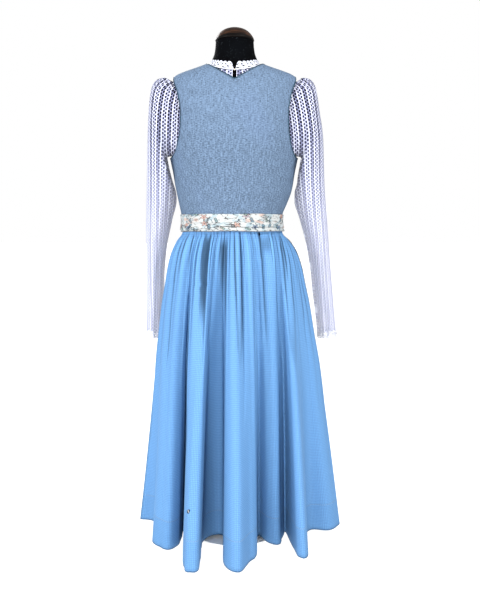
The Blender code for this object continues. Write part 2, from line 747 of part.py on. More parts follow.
def make_sleeves():
    for side, word in ((1, "left"), (-1, "right")):
        wall(f"sleeve_{word}", [sleeve_place(side)], SLEEVE_COLUMNS, sleeve_rows(), BLOUSE_CLOTH, "Lace", LACE)
        last = SLEEVE[-1]

        def cuff(u, v, side=side, last=last):
            degrees = -360.0 * u if side > 0 else 360.0 * u
            point = sleeve_ring(last, degrees, side)
            arch = 2.0 * MM * math.cos(math.radians(degrees) * 2)
            point.z -= SEAM_GAP + (CUFF_HEIGHT + arch) * (1 - v)
            return point
        wall(f"cuff_{word}", [cuff], SLEEVE_COLUMNS, 1, BLOUSE_CLOTH, "Lace", LACE)


# The skirt


def ring_point(degrees):
    """A point of the skirt's outer ring at the hem."""
    angle = math.radians(degrees)
    depth = RING_BACK if math.sin(angle) >= 0 else RING_FRONT
    return Vector((RING_CENTRE_X + RING_HALF_WIDTH * math.cos(angle),
                   RING_CENTRE_Y + depth * math.sin(angle), 0.0))


def all_turns():
    turns = [Turn(*turn) for turn in BACK_TURNS]
    step = (FRONT_END - FRONT_START) / (FRONT_FLUTES - 0.5)
    for index in range(FRONT_FLUTES):
        valley = FRONT_START + 2.0 + step * index
        crest = valley + step / 2
        centre = Vector((RING_CENTRE_X, RING_CENTRE_Y, 0.0))
        inward = (centre - ring_point(valley)).normalized()
        low = ring_point(valley) + inward * FRONT_FLUTE_DEPTH
        high = ring_point(crest)
        turns.append(Turn(low.x, low.y, valley, valley))
        turns.append(Turn(high.x, high.y, crest, crest))
    last = turns[-1]
    valley = (last.ring + 360.0 + BACK_TURNS[0].ring) / 2
    inward = (Vector((RING_CENTRE_X, RING_CENTRE_Y, 0.0)) - ring_point(valley)).normalized()
    low = ring_point(valley) + inward * FRONT_FLUTE_DEPTH * 0.5
    turns.append(Turn(low.x, low.y, (last.waist + 360.0 + BACK_TURNS[0].waist) / 2, valley))
    return turns


def through(before, start, end, after, t):
    """A smooth value between start and end, which heads for their neighbours."""
    return 0.5 * (2 * start + (end - before) * t + (2 * before - 5 * start + 4 * end - after) * t ** 2
                  + (3 * start - before - 3 * end + after) * t ** 3)


def hem_line(samples):
    """Evenly spaced places along the hem, each with its angles at the waist and on the ring."""
    turns = all_turns()
    count = len(turns)
    fine = []
    pieces = 10
    for index in range(count):
        near = [turns[(index + offset) % count] for offset in (-1, 0, 1, 2)]
        lap = 360.0 if index == count - 1 else 0.0
        for piece in range(pieces):
            t = piece / pieces
            fine.append(Turn(through(*[turn.x for turn in near], t), through(*[turn.y for turn in near], t),
                             near[1].waist + (near[2].waist + lap - near[1].waist) * t,
                             near[1].ring + (near[2].ring + lap - near[1].ring) * t))
    first = fine[0]
    fine.append(Turn(first.x, first.y, first.waist + 360.0, first.ring + 360.0))
    lengths = [0.0]
    for before, after in zip(fine, fine[1:]):
        lengths.append(lengths[-1] + math.hypot(after.x - before.x, after.y - before.y))
    places = []
    index = 0
    for sample in range(samples):
        wanted = lengths[-1] * sample / samples
        while wanted > lengths[index + 1]:
            index += 1
        t = (wanted - lengths[index]) / (lengths[index + 1] - lengths[index])
        start, end = fine[index], fine[index + 1]
        places.append(Turn(*[a + (b - a) * t for a, b in zip(start, end)]))
    return places


def fall(height):
    """How far down the skirt a height is, from 0 at the waist seam to 1 at the hem."""
    return (WAIST_SEAM - height) / (WAIST_SEAM - HEM)


def gather_depth(height):
    """Half the depth of the small gathers, which run out below the hips."""
    t = fall(height)
    return 1.6 * MM + 3.0 * MM * math.sin(math.pi * min(1.0, t / 0.5)) ** 0.7 * (1 - min(1.0, t / 0.6))


def outer_fall(waist, ring, height):
    """The skirt's outer ring at a height, before its folds."""
    start = skin(waist, WAIST_SEAM, SKIRT_LIFT + gather_depth(WAIST_SEAM) * 0.6)
    end = ring_point(ring)
    share = SPREAD_TABLE.at(height, "share")
    return Vector((start.x + (end.x - start.x) * share, start.y + (end.y - start.y) * share, height))


def make_skirt():
    columns = SKIRT_GATHERS * COLUMNS_IN_A_GATHER
    line = hem_line(columns)
    rows = len(SKIRT_ROWS) - 1

    def place(u, v):
        column = round(u * columns) % columns
        height = SKIRT_ROWS[rows - round(v * rows)]
        turn = line[column]
        point = outer_fall(turn.waist, turn.ring, height)
        depth = fall(height) ** FOLD_POWER
        end = ring_point(turn.ring)
        point.x += (turn.x - end.x) * depth
        point.y += (turn.y - end.y) * depth
        out = Vector((math.cos(math.radians(turn.waist)), math.sin(math.radians(turn.waist)), 0.0))
        return point + out * gather_depth(height) * math.cos(2 * math.pi * column / COLUMNS_IN_A_GATHER)
    skirt = wall("skirt", [place], columns, rows, SKIRT_CLOTH, "SkirtCotton", SKIRT_COTTON)
    cut_tear(skirt)


def cut_tear(skirt):
    """A small lengthwise tear right through the cloth of one back fold."""
    bpy.ops.mesh.primitive_cylinder_add(vertices=8, radius=0.5, depth=0.050,
                                        location=(TEAR_X, 0.1900, TEAR_HEIGHT),
                                        rotation=(math.radians(90.0), 0.0, 0.0))
    cutter = bpy.context.active_object
    cutter.name = "tear_cutter"
    cutter.scale = (TEAR_WIDTH, TEAR_LENGTH, 1.0)
    cutter.hide_render = True
    cutter.display_type = "WIRE"
    for owner in list(cutter.users_collection):
        owner.objects.unlink(cutter)
    cutters.objects.link(cutter)
    cut = skirt.modifiers.new("Tear", "BOOLEAN")
    cut.object = cutter
    cut.operation = "DIFFERENCE"


# The apron and its sash


def sash_place(u, v):
    """The sash, drawn round the waist in long shallow creases."""
    degrees = 360.0 * u
    row = round(v * (len(SASH_ROW_LIFTS) - 1))
    height = SASH_BOTTOM + (SASH_TOP - SASH_BOTTOM) * v
    if 0 < row < len(SASH_ROW_LIFTS) - 1:
        height += SASH_WANDER * math.sin(math.radians(degrees * 2 + 40.0))
    return skin(degrees, height, SASH_LIFT - SASH_LEAN * v + SASH_ROW_LIFTS[row])


def make_sash():
    wall("apron_sash", [sash_place], 36, len(SASH_ROW_LIFTS) - 1, SASH_CLOTH, "PrintCotton", PRINT_COTTON)


def make_apron():
    columns = APRON_FLUTES * 2
    rows = len(APRON_ROWS) - 1

    def place(u, v):
        height = APRON_ROWS[rows - round(v * rows)]
        degrees = APRON_START + (APRON_END - APRON_START) * u
        point = outer_fall(degrees, degrees, height)
        t = fall(height)
        angle = math.radians(degrees)
        out = Vector((math.cos(angle), math.sin(angle), 0.0))
        off = APRON_LIFT - SKIRT_LIFT + APRON_OFF_SKIRT * (min(1.0, t / 0.05) + t)
        flute = (APRON_TOP_FLUTE + APRON_FLARE * t) * math.cos(2 * math.pi * APRON_FLUTES * u)
        return point + out * (off + flute)
    wall("apron_panel", [place], columns, rows, APRON_CLOTH, "PrintCotton", PRINT_COTTON)


def bow_frame():
    """The middle of the bow on the sash, with its outward and sideways directions."""
    height = (SASH_BOTTOM + SASH_TOP) / 2
    seat = skin(BOW_ANGLE, height, BOW_LIFT)
    out = body_normal(math.radians(BOW_ANGLE), height)
    aside = out.cross(Vector((0.0, 0.0, 1.0))).normalized()
    return seat, out, aside


def make_bow():
    seat, out, aside = bow_frame()
    bpy.ops.mesh.primitive_uv_sphere_add(segments=12, ring_count=8, radius=KNOT_RADIUS)
    knot = take("bow_knot", "PrintCotton", PRINT_COTTON)
    for vertex in knot.data.vertices:
        across, deep, up = vertex.co
        vertex.co = seat + aside * across + out * (deep * KNOT_DEEP + KNOT_OUT) + Vector((0, 0, up * KNOT_TALL))
    for side, word in ((1, "right"), (-1, "left")):
        def loop(u, v, side=side):
            angle = 2 * math.pi * u
            share = (1 - math.cos(angle)) / 2
            across = side * (LOOP_START + LOOP_LENGTH * share)
            swell = math.sin(math.pi * min(1.0, share + 0.08)) ** 0.5
            pinch = LOOP_PINCH + (1 - LOOP_PINCH) * swell
            deep = LOOP_OUT - LOOP_HALF_DEPTH * math.sin(angle) * side
            up = (v - 0.5) * LOOP_HEIGHT * pinch + 3.0 * MM - 4.0 * MM * share
            curve_back = -LOOP_CURVE * across * across
            return seat + aside * across + out * (deep + curve_back) + Vector((0, 0, up))
        wall(f"bow_loop_{word}", [loop], 16, 2, SASH_CLOTH * 0.8, "PrintCotton", PRINT_COTTON)

        def tail(u, v, side=side):
            drop = TAIL_LENGTH + TAIL_UNEVEN * side
            t = 1 - v
            width = TAIL_WIDTH * (TAIL_NARROW + (1 - TAIL_NARROW) * min(1.0, t * 3))
            across = -side * (TAIL_START + TAIL_SPREAD * t ** 0.7) + (u - 0.5) * width
            level = seat.z - TAIL_DROP - drop * t
            degrees = BOW_ANGLE + math.degrees(across / WAIST_REACH) * (1 - 0.25 * t)
            base = outer_fall(degrees, degrees, min(level, SASH_BOTTOM))
            angle = math.radians(degrees)
            away = Vector((math.cos(angle), math.sin(angle), 0.0))
            tuck = TAIL_TUCK * max(0.0, 1 - 5 * t)
            curl = TAIL_CURL * math.cos(2 * math.pi * u) * min(1.0, 4 * t)
            return Vector((base.x, base.y, level)) + away * (TAIL_OUT - tuck + TAIL_FLARE * fall(level) + curl)
        wall(f"bow_tail_{word}", [tail], 4, 5, SASH_CLOTH * 0.8, "PrintCotton", PRINT_COTTON)


for old in list(bpy.data.objects):
    bpy.data.objects.remove(old, do_unlink=True)
collection = bpy.data.collections.new("dirndl_on_dress_form")
bpy.context.scene.collection.children.link(collection)
cutters = bpy.data.collections.new("cutters")
bpy.context.scene.collection.children.link(cutters)

make_form()
make_stand()
make_bodice()
make_pipings()
make_buttons()
make_blouse()
make_collar()
make_sleeves()
make_skirt()
make_sash()
make_apron()
make_bow()
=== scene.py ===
"""The looks of a dirndl on its limbless dress form, seen from behind.

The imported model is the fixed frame. Each operator makes one piece, or a few like pieces, over
its solids, by the same rules at a finer step, and adds the folds, creases, stitches and weave.
Metres, +Z up. The back of the garment faces +Y, and the wearer's left is +X.
"""
import math
from collections import namedtuple

import bmesh
import bpy
from mathutils import Matrix, Vector, noise


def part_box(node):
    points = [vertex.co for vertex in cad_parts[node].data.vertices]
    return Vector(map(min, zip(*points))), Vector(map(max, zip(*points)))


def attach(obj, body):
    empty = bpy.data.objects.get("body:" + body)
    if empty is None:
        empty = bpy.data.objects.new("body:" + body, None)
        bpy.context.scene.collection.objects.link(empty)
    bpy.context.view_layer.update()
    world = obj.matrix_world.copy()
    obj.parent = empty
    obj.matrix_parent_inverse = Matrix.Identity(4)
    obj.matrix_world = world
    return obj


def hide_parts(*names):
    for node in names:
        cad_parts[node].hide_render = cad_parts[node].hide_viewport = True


bl_info = {
    "name": "Dirndl on a Dress Form",
    "version": (1, 0, 0),
    "blender": (4, 5, 0),
    "location": "3D View > Sidebar > Dirndl",
    "description": "Dresses the packed dirndl in its cloth, lace, print and finishes",
    "category": "Object",
}

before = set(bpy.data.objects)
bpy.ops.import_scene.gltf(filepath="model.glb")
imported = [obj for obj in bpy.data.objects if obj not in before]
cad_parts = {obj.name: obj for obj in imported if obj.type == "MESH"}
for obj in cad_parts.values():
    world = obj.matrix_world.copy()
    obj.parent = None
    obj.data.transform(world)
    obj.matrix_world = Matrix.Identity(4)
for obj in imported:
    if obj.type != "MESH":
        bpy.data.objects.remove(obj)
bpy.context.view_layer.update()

MM = 0.001

# Heights of the garment above the floor
HEM = 0.015
APRON_HEM = 0.072
WAIST_SEAM = 0.797
SASH_BOTTOM = 0.788
SASH_TOP = 0.831
BLOUSE_BOTTOM = 0.930
UNDERARM = 0.965
SHOULDER_TIP = 1.1555
NECK_SIDE = 1.1825
BODICE_NECK_SIDE = 1.1812
BACK_POINT = 1.1365
FRONT_POINT = 1.045

# How far each layer stands off the form, and how thick its cloth is
FORM_SET_IN = 2.0 * MM
BLOUSE_LIFT = 0.8 * MM
COLLAR_LIFT = 1.0 * MM
BODICE_LIFT = 4.9 * MM
BODICE_CLOTH = 1.5 * MM
SKIRT_LIFT = 3.6 * MM
SKIRT_CLOTH = 1.0 * MM
SASH_LIFT = 9.9 * MM
SASH_CLOTH = 1.2 * MM
APRON_LIFT = 10.3 * MM
APRON_CLOTH = 1.0 * MM
SEAM_GAP = 0.3 * MM
PIPING_RADIUS = 1.3 * MM

# The form and its stand
FORM_BOTTOM = 0.655
NECK_TOP = 1.2505
COVER_TOP = 1.195
COVER_FADE = 0.025
BASE_RADIUS = 0.120
BASE_HEIGHT = 0.006
POLE_RADIUS = 0.0125

Section = namedtuple("Section", "height half_width back front centre")
BODY = [
    Section(0.655, 0.143, 0.100, -0.100, 0.003), Section(0.700, 0.145, 0.101, -0.101, 0.003),
    Section(0.740, 0.136, 0.098, -0.097, 0.004), Section(0.785, 0.1185, 0.091, -0.089, 0.005),
    Section(0.812, 0.1155, 0.088, -0.087, 0.006), Section(0.833, 0.1185, 0.088, -0.090, 0.006),
    Section(0.852, 0.1245, 0.089, -0.096, 0.004), Section(0.892, 0.1360, 0.094, -0.112, 0.001),
    Section(0.934, 0.1430, 0.099, -0.131, 0.001), Section(0.966, 0.1495, 0.102, -0.140, 0.001),
    Section(1.000, 0.1540, 0.104, -0.139, 0.000), Section(1.050, 0.1552, 0.103, -0.121, -0.001),
    Section(1.090, 0.1555, 0.099, -0.104, -0.001), Section(1.120, 0.1545, 0.091, -0.090, -0.001),
    Section(1.140, 0.1520, 0.082, -0.079, -0.001), Section(1.150, 0.1475, 0.077, -0.074, -0.001),
    Section(1.158, 0.1370, 0.073, -0.070, -0.001), Section(1.166, 0.1160, 0.069, -0.066, -0.001),
    Section(1.174, 0.0915, 0.065, -0.062, -0.001), Section(1.1825, 0.0690, 0.061, -0.058, -0.001),
    Section(1.190, 0.0600, 0.058, -0.056, -0.001), Section(1.198, 0.0560, 0.054, -0.053, -0.001),
    Section(1.215, 0.0490, 0.048, -0.049, -0.001), Section(1.235, 0.0462, 0.046, -0.046, -0.001),
    Section(1.2505, 0.0455, 0.045, -0.045, -0.001),
]

Ring = namedtuple("Ring", "radius height")
CAP_PROFILE = [
    Ring(0.0471, 1.2430), Ring(0.0474, 1.2460), Ring(0.0460, 1.2509), Ring(0.0415, 1.2583),
    Ring(0.0352, 1.2653), Ring(0.0270, 1.2710), Ring(0.0160, 1.2748), Ring(0.0060, 1.2764),
    Ring(0.0010, 1.2766),
]

# Up to here the cap is coloured as dark as the neck, a little higher at the back
CAP_DARK_LINE = 1.2425

# The armhole: how far round the body its edge reaches, in degrees from the side
ARMHOLE_REACH = 38.0
LOWER_ROUNDNESS = 0.5
UPPER_ROUNDNESS = 0.75
FRONT_SCOOP = 1.06
ARMHOLE_SAG = 0.012
ARM_ROWS = 40

# Panel rows: below the underarm, and the row at which the middle line reaches the neckline
BODICE_SIDE_ROWS = 24
BODICE_ROWS = ARM_ROWS + BODICE_SIDE_ROWS
BACK_NECK_ROW = 40
FRONT_NECK_ROW = 36
BACK_NECK_POWER = 1.0
FRONT_NECK_POWER = 1.25
BODICE_COLUMNS = 36

# The mean radius by which the weave's coordinates run round the body
CLOTH_GIRTH = 0.130

# The blouse: its edges lie inside the bodice's, by degrees round the body and by height
BLOUSE_BACK_POINT = 1.163
BLOUSE_FRONT_POINT = 1.150
BLOUSE_NECK_POWER = 2.0
BLOUSE_SIDE_ROWS = 8
BLOUSE_NECK_ROW = 24
BLOUSE_TUCK = 2.4
BLOUSE_DROP = 3.0 * MM
SLEEVE_SEAM_TUCK = 1.5
SLEEVE_SEAM_DROP = 1.8 * MM
SLEEVE_TURN_TUCK = -4.5
SLEEVE_TURN_DROP = -7.0 * MM
BACK_SLIT_TOP = 4.6 * MM
BACK_SLIT_BELOW = 0.8 * MM
BACK_SLIT_FOOT = 1.130
COLLAR_BACK_TOP = 1.184
COLLAR_FRONT_TOP = 1.176
COLLAR_SIDE_TOP = 1.198
COLLAR_SCALLOPS = 36
COLLAR_LACE_LENGTH = 0.36
COLLAR_LACE_HEIGHT = 0.021
LACE_COLUMN = 0.0138
LACE_PITCH = 0.0084
COLLAR_SCALLOP = 1.8 * MM
NECK_BUTTON_RADIUS = 1.9 * MM

# The skirt's outer ring at the hem, and how quickly the skirt reaches it below the waist
RING_CENTRE = Vector((-0.0105, -0.050, 0.0))
RING_HALF_WIDTH = 0.2655
RING_BACK = 0.275
RING_FRONT = 0.187
Spread = namedtuple("Spread", "height share")
SPREAD = [
    Spread(HEM, 1.0), Spread(0.120, 0.91), Spread(0.220, 0.828), Spread(0.340, 0.728),
    Spread(0.450, 0.638), Spread(0.540, 0.535), Spread(0.600, 0.470), Spread(0.650, 0.40),
    Spread(0.700, 0.33), Spread(0.735, 0.25), Spread(0.765, 0.13), Spread(0.786, 0.008),
    Spread(WAIST_SEAM, 0.0),
]
FOLD_POWER = 1.1

# The hem line of the back and sides: place of each turn, and its angles at the waist and on the ring
Turn = namedtuple("Turn", "x y waist ring")
BACK_TURNS = [
    Turn(0.2545, -0.082, -14, -11), Turn(0.2200, -0.072, 4, 2), Turn(0.1930, -0.025, 12, 12),
    Turn(0.2062, 0.055, 20, 26), Turn(0.1650, 0.103, 32, 44), Turn(0.1380, 0.068, 42, 52),
    Turn(0.1325, -0.010, 49, 57), Turn(0.1175, 0.190, 56, 61), Turn(0.0990, 0.218, 62, 66),
    Turn(0.0810, 0.198, 68, 70), Turn(0.0780, 0.048, 76, 73), Turn(0.0290, 0.026, 82, 80),
    Turn(0.0240, 0.172, 87, 84), Turn(-0.0115, 0.218, 95, 90), Turn(-0.0360, 0.165, 102, 96),
    Turn(-0.0530, 0.133, 108, 100), Turn(-0.0590, 0.018, 112, 104), Turn(-0.0840, 0.061, 120, 108),
    Turn(-0.1130, 0.071, 134, 113), Turn(-0.1290, -0.004, 146, 117), Turn(-0.1430, 0.090, 154, 121),
    Turn(-0.1570, 0.142, 160, 125), Turn(-0.1750, 0.134, 166, 130), Turn(-0.1900, -0.006, 173, 140),
    Turn(-0.2460, -0.012, 184, 160), Turn(-0.2755, -0.060, 194, 183),
]
FRONT_FLUTES = 8
FRONT_FLUTE_DEPTH = 0.055
FRONT_START = 197.0
FRONT_END = 345.0
SKIRT_GATHERS = 37
SKIRT_COLUMNS = SKIRT_GATHERS * 14
SKIRT_ROWS = 88
HEM_STITCH = 0.070
HEM_STITCH_LENGTH = 5.2 * MM
FINE_CHECK = 3.1 * MM
SLANT_CHECK = 8.4 * MM
TEAR = Vector((0.1045, 0.19, 0.152))
TEAR_WIDTH = 0.0055
TEAR_LENGTH = 0.0085

# The left sleeve: its outer and inner line seen from behind, and its middle and depth seen from the side
Cuffward = namedtuple("Cuffward", "outer_x outer_z inner_x inner_z middle_y half_depth")
SLEEVE = [
    Cuffward(0.1690, 1.1570, 0.1640, 0.9700, 0.000, 0.065),
    Cuffward(0.1860, 1.1530, 0.1690, 0.9600, 0.000, 0.070),
    Cuffward(0.1970, 1.1400, 0.1660, 0.9500, -0.002, 0.073),
    Cuffward(0.2035, 1.1170, 0.1620, 0.9360, -0.005, 0.076),
    Cuffward(0.2085, 1.0750, 0.1570, 0.9200, -0.010, 0.077),
    Cuffward(0.2130, 1.0150, 0.1515, 0.9030, -0.018, 0.075),
    Cuffward(0.2170, 0.9450, 0.1470, 0.8850, -0.030, 0.071),
    Cuffward(0.2205, 0.8750, 0.1480, 0.8560, -0.042, 0.067),
    Cuffward(0.2240, 0.8150, 0.1600, 0.8150, -0.054, 0.062),
    Cuffward(0.2265, 0.7550, 0.1740, 0.7550, -0.070, 0.058),
    Cuffward(0.2290, 0.6900, 0.1830, 0.6900, -0.088, 0.054),
    Cuffward(0.2325, 0.6000, 0.1890, 0.6000, -0.110, 0.050),
    Cuffward(0.2350, 0.5270, 0.1940, 0.5270, -0.124, 0.044),
]
CUFF_HEIGHT = 0.020
SLEEVE_COLUMNS = 160
SLEEVE_ROWS = 150
HEAD_GATHERS = 22
HEAD_GATHER = 2.4 * MM
RIGHT_SWING = 0.033
RIGHT_FULLNESS = 0.005

# The apron, its sash and the bow
APRON_START = 200.0
APRON_END = 336.5
APRON_FLUTES = 12
APRON_CLOTH_WIDTH = 0.90
SASH_LEAN = 1.6 * MM
SASH_LENGTH = 0.74
BOW_ANGLE = -72.0
BOW_LIFT = 8.8 * MM
KNOT_RADIUS = 0.011
KNOT_OUT = 0.0105
LOOP_START = 0.01028
LOOP_LENGTH = 0.080
LOOP_HEIGHT = 0.044
LOOP_OUT = 0.0160
TAIL_LENGTH = 0.235
TAIL_WIDTH = 0.034
TAIL_OUT = 0.0185
TAIL_DROP = 0.0167

# The front's buttons
BUTTON_ANGLE = -85.0
BUTTON_RADIUS = 5.5 * MM
BUTTON_HEIGHT = 2.4 * MM
THREAD_RADIUS = 0.35 * MM


class SmoothTable:
    """Smooth values between the rows of a table, which never swing past a row."""

    def __init__(self, rows, key):
        self.rows = sorted(rows, key=lambda row: getattr(row, key))
        self.keys = [getattr(row, key) for row in self.rows]
        self.slopes = {name: self._slopes(name) for name in self.rows[0]._fields if name != key}

    def _slopes(self, name):
        values = [getattr(row, name) for row in self.rows]
        steps = []
        for index in range(len(values) - 1):
            steps.append((values[index + 1] - values[index]) / (self.keys[index + 1] - self.keys[index]))
        slopes = [steps[0]]
        for before, after in zip(steps, steps[1:]):
            slopes.append(2 * before * after / (before + after) if before * after > 0 else 0.0)
        slopes.append(steps[-1])
        return slopes

    def at(self, key, name):
        key = min(max(key, self.keys[0]), self.keys[-1])
        index = 0
        while index < len(self.keys) - 2 and key > self.keys[index + 1]:
            index += 1
        span = self.keys[index + 1] - self.keys[index]
        t = (key - self.keys[index]) / span
        start = getattr(self.rows[index], name)
        end = getattr(self.rows[index + 1], name)
        slopes = self.slopes[name]
        return ((2 * t ** 3 - 3 * t ** 2 + 1) * start + (t ** 3 - 2 * t ** 2 + t) * span * slopes[index]
                + (3 * t ** 2 - 2 * t ** 3) * end + (t ** 3 - t ** 2) * span * slopes[index + 1])


BODY_TABLE = SmoothTable(BODY, "height")
SPREAD_TABLE = SmoothTable(SPREAD, "height")


# The garment's rules, as in the solids


def body_point(angle, height):
    """A point of the form's surface; 0 degrees is the wearer's left side and 90 the back."""
    depth = BODY_TABLE.at(height, "back") if math.sin(angle) >= 0 else -BODY_TABLE.at(height, "front")
    x = BODY_TABLE.at(height, "centre") + BODY_TABLE.at(height, "half_width") * math.cos(angle)
    return Vector((x, depth * math.sin(angle), height))


def body_normal(angle, height):
    step = 0.0005
    around = body_point(angle + step, height) - body_point(angle - step, height)
    up = body_point(angle, height + step) - body_point(angle, height - step)
    return around.cross(up).normalized()


def skin(degrees, height, lift):
    """A point that stands off the form by lift."""
    angle = math.radians(degrees)
    return body_point(angle, height) + body_normal(angle, height) * lift


def angle_for(share, height, top):
    """The angle at which the form is that share of its half width at the neckline's top."""
    reach = share * BODY_TABLE.at(top, "half_width") / BODY_TABLE.at(height, "half_width")
    return math.degrees(math.acos(min(1.0, reach)))


def lengths_along(points):
    """How far along a path each of its points is."""
    lengths = [0.0]
    for before, after in zip(points, points[1:]):
        lengths.append(lengths[-1] + (after - before).length)
    return lengths


def sampled(path, lift, fractions):
    """The places at fractions of the length of a path of (degrees, height) pairs."""
    lengths = lengths_along([skin(degrees, height, lift) for degrees, height in path])
    places = []
    for fraction in fractions:
        wanted = fraction * lengths[-1]
        index = 0
        while index < len(lengths) - 2 and wanted > lengths[index + 1]:
            index += 1
        t = (wanted - lengths[index]) / (lengths[index + 1] - lengths[index])
        start, end = path[index], path[index + 1]
        places.append((start[0] + (end[0] - start[0]) * t, start[1] + (end[1] - start[1]) * t))
    return places


def between(start, end, steps):
    return [start + (end - start) * index / steps for index in range(steps + 1)]


def clamped(value):
    return min(max(value, 0.0), 1.0)


def outward(degrees):
    """The level direction away from the body's middle."""
    angle = math.radians(degrees)
    return Vector((math.cos(angle), math.sin(angle), 0.0))


def across_body(point):
    """The same place on the body's other side."""
    return Vector((2 * BODY_TABLE.at(point.z, "centre") - point.x, point.y, point.z))


def neckline(point, power, sign, top):
    """From the middle of the neckline to the side of the neck, as (degrees, height) pairs."""
    path = []
    for share in between(0.0, 1.0, 36):
        height = point + (top - point) * share ** power
        path.append((sign * angle_for(share, height, top), height))
    return path


def armhole_point(turn, sign, extra=0.0, drop=0.0):
    """A place on the armhole, from turn 0 at the underarm to 1 at the shoulder tip."""
    around = math.sin(math.pi * turn)
    roundness = LOWER_ROUNDNESS if turn < 0.5 else UPPER_ROUNDNESS
    reach = max(around, 0.0) ** roundness
    scoop = 1.0 if sign > 0 else FRONT_SCOOP
    height = UNDERARM + (SHOULDER_TIP - UNDERARM) * (1 - math.cos(math.pi * turn)) / 2
    degrees = 0.5 + (ARMHOLE_REACH * scoop + extra) * reach
    return (sign * degrees, height - drop * math.cos(math.pi * turn))


def even_turns():
    """The turns that part the armhole's edge into rows of one length."""
    fine = [index / 400 for index in range(401)]
    lengths = lengths_along([skin(*armhole_point(turn, 1), BODICE_LIFT) for turn in fine])
    turns = []
    index = 0
    for row in range(ARM_ROWS + 1):
        wanted = lengths[-1] * row / ARM_ROWS
        while index < len(fine) - 2 and wanted > lengths[index + 1]:
            index += 1
        t = (wanted - lengths[index]) / (lengths[index + 1] - lengths[index])
        turns.append(min(1.0, fine[index] + (fine[index + 1] - fine[index]) * t))
    return turns


ARM_TURNS = even_turns()


def outer_edge(bottom, sign, side_rows, extra=0.0, drop=0.0):
    """The side seam and the armhole, one (degrees, height) pair for each row of a panel."""
    seam = [(sign * 0.5, height) for height in between(bottom, UNDERARM - drop, side_rows)]
    return seam[:-1] + [armhole_point(turn, sign, extra, drop) for turn in ARM_TURNS]


def inner_edge(bottom, point, power, sign, neck_row, side_rows, lift, top):
    """The middle line and the neckline, one (degrees, height) pair for each row of a panel."""
    level = UNDERARM - ARMHOLE_SAG
    low = [(sign * 90.0, height) for height in between(bottom, level, side_rows)]
    high = [(sign * 90.0, height) for height in between(level, point, neck_row - side_rows)]
    steps = side_rows + ARM_ROWS - neck_row
    return low[:-1] + high[:-1] + sampled(neckline(point, power, sign, top), lift, between(0.0, 1.0, steps))


def bodice_edges(sign):
    """The inner and outer edges of the back (1) or of one front (-1), as (degrees, height) pairs."""
    back = (BACK_POINT, BACK_NECK_POWER, BACK_NECK_ROW)
    point, power, row = back if sign > 0 else (FRONT_POINT, FRONT_NECK_POWER, FRONT_NECK_ROW)
    inner = inner_edge(WAIST_SEAM + SEAM_GAP, point, power, sign, row, BODICE_SIDE_ROWS, BODICE_LIFT,
                       BODICE_NECK_SIDE)
    return inner, outer_edge(WAIST_SEAM + SEAM_GAP, sign, BODICE_SIDE_ROWS)


def half_panel(inner, outer, lift, sign, neck_row, middle_gap=0.0, relief=None):
    """A ruled patch from the middle line out to the side, with the cloth's coordinates in metres."""
    rows = len(inner) - 1

    def place(u, v):
        row = round(v * rows)
        across = 1 - u if sign > 0 else u
        degrees = inner[row][0] + (outer[row][0] - inner[row][0]) * across
        height = inner[row][1] + (outer[row][1] - inner[row][1]) * across
        point = skin(degrees, height, lift + (relief(degrees, height) if relief else 0.0))
        point.y += sign * SEAM_GAP / 2
        if across < 0.001 and row <= neck_row:
            point.x = BODY_TABLE.at(point.z, "centre")
        point.x += middle_gap * (1 - across) ** 2
        return point, (math.radians(degrees - sign * 90.0) * -CLOTH_GIRTH, height)
    return place


def mirrored(place):
    def other_side(u, v):
        point, cloth = place(1 - u, v)
        return across_body(point), (-cloth[0], cloth[1])
    return other_side


def ring_point(degrees):
    """A point of the skirt's outer ring at the hem."""
    angle = math.radians(degrees)
    depth = RING_BACK if math.sin(angle) >= 0 else RING_FRONT
    return RING_CENTRE + Vector((RING_HALF_WIDTH * math.cos(angle), depth * math.sin(angle), 0.0))


def all_turns():
    turns = list(BACK_TURNS)
    step = (FRONT_END - FRONT_START) / (FRONT_FLUTES - 0.5)
    for index in range(FRONT_FLUTES):
        valley = FRONT_START + 2.0 + step * index
        crest = valley + step / 2
        low = ring_point(valley) + (RING_CENTRE - ring_point(valley)).normalized() * FRONT_FLUTE_DEPTH
        high = ring_point(crest)
        turns.append(Turn(low.x, low.y, valley, valley))
        turns.append(Turn(high.x, high.y, crest, crest))
    last = turns[-1]
    valley = (last.ring + 360.0 + BACK_TURNS[0].ring) / 2
    low = ring_point(valley) + (RING_CENTRE - ring_point(valley)).normalized() * FRONT_FLUTE_DEPTH * 0.5
    turns.append(Turn(low.x, low.y, (last.waist + 360.0 + BACK_TURNS[0].waist) / 2, valley))
    return turns


def through(before, start, end, after, t):
    """A smooth value between start and end, which heads for their neighbours."""
    return (start * 2 + (end - before) * t + (before * 2 - start * 5 + end * 4 - after) * t ** 2
            + (start * 3 - before - end * 3 + after) * t ** 3) * 0.5


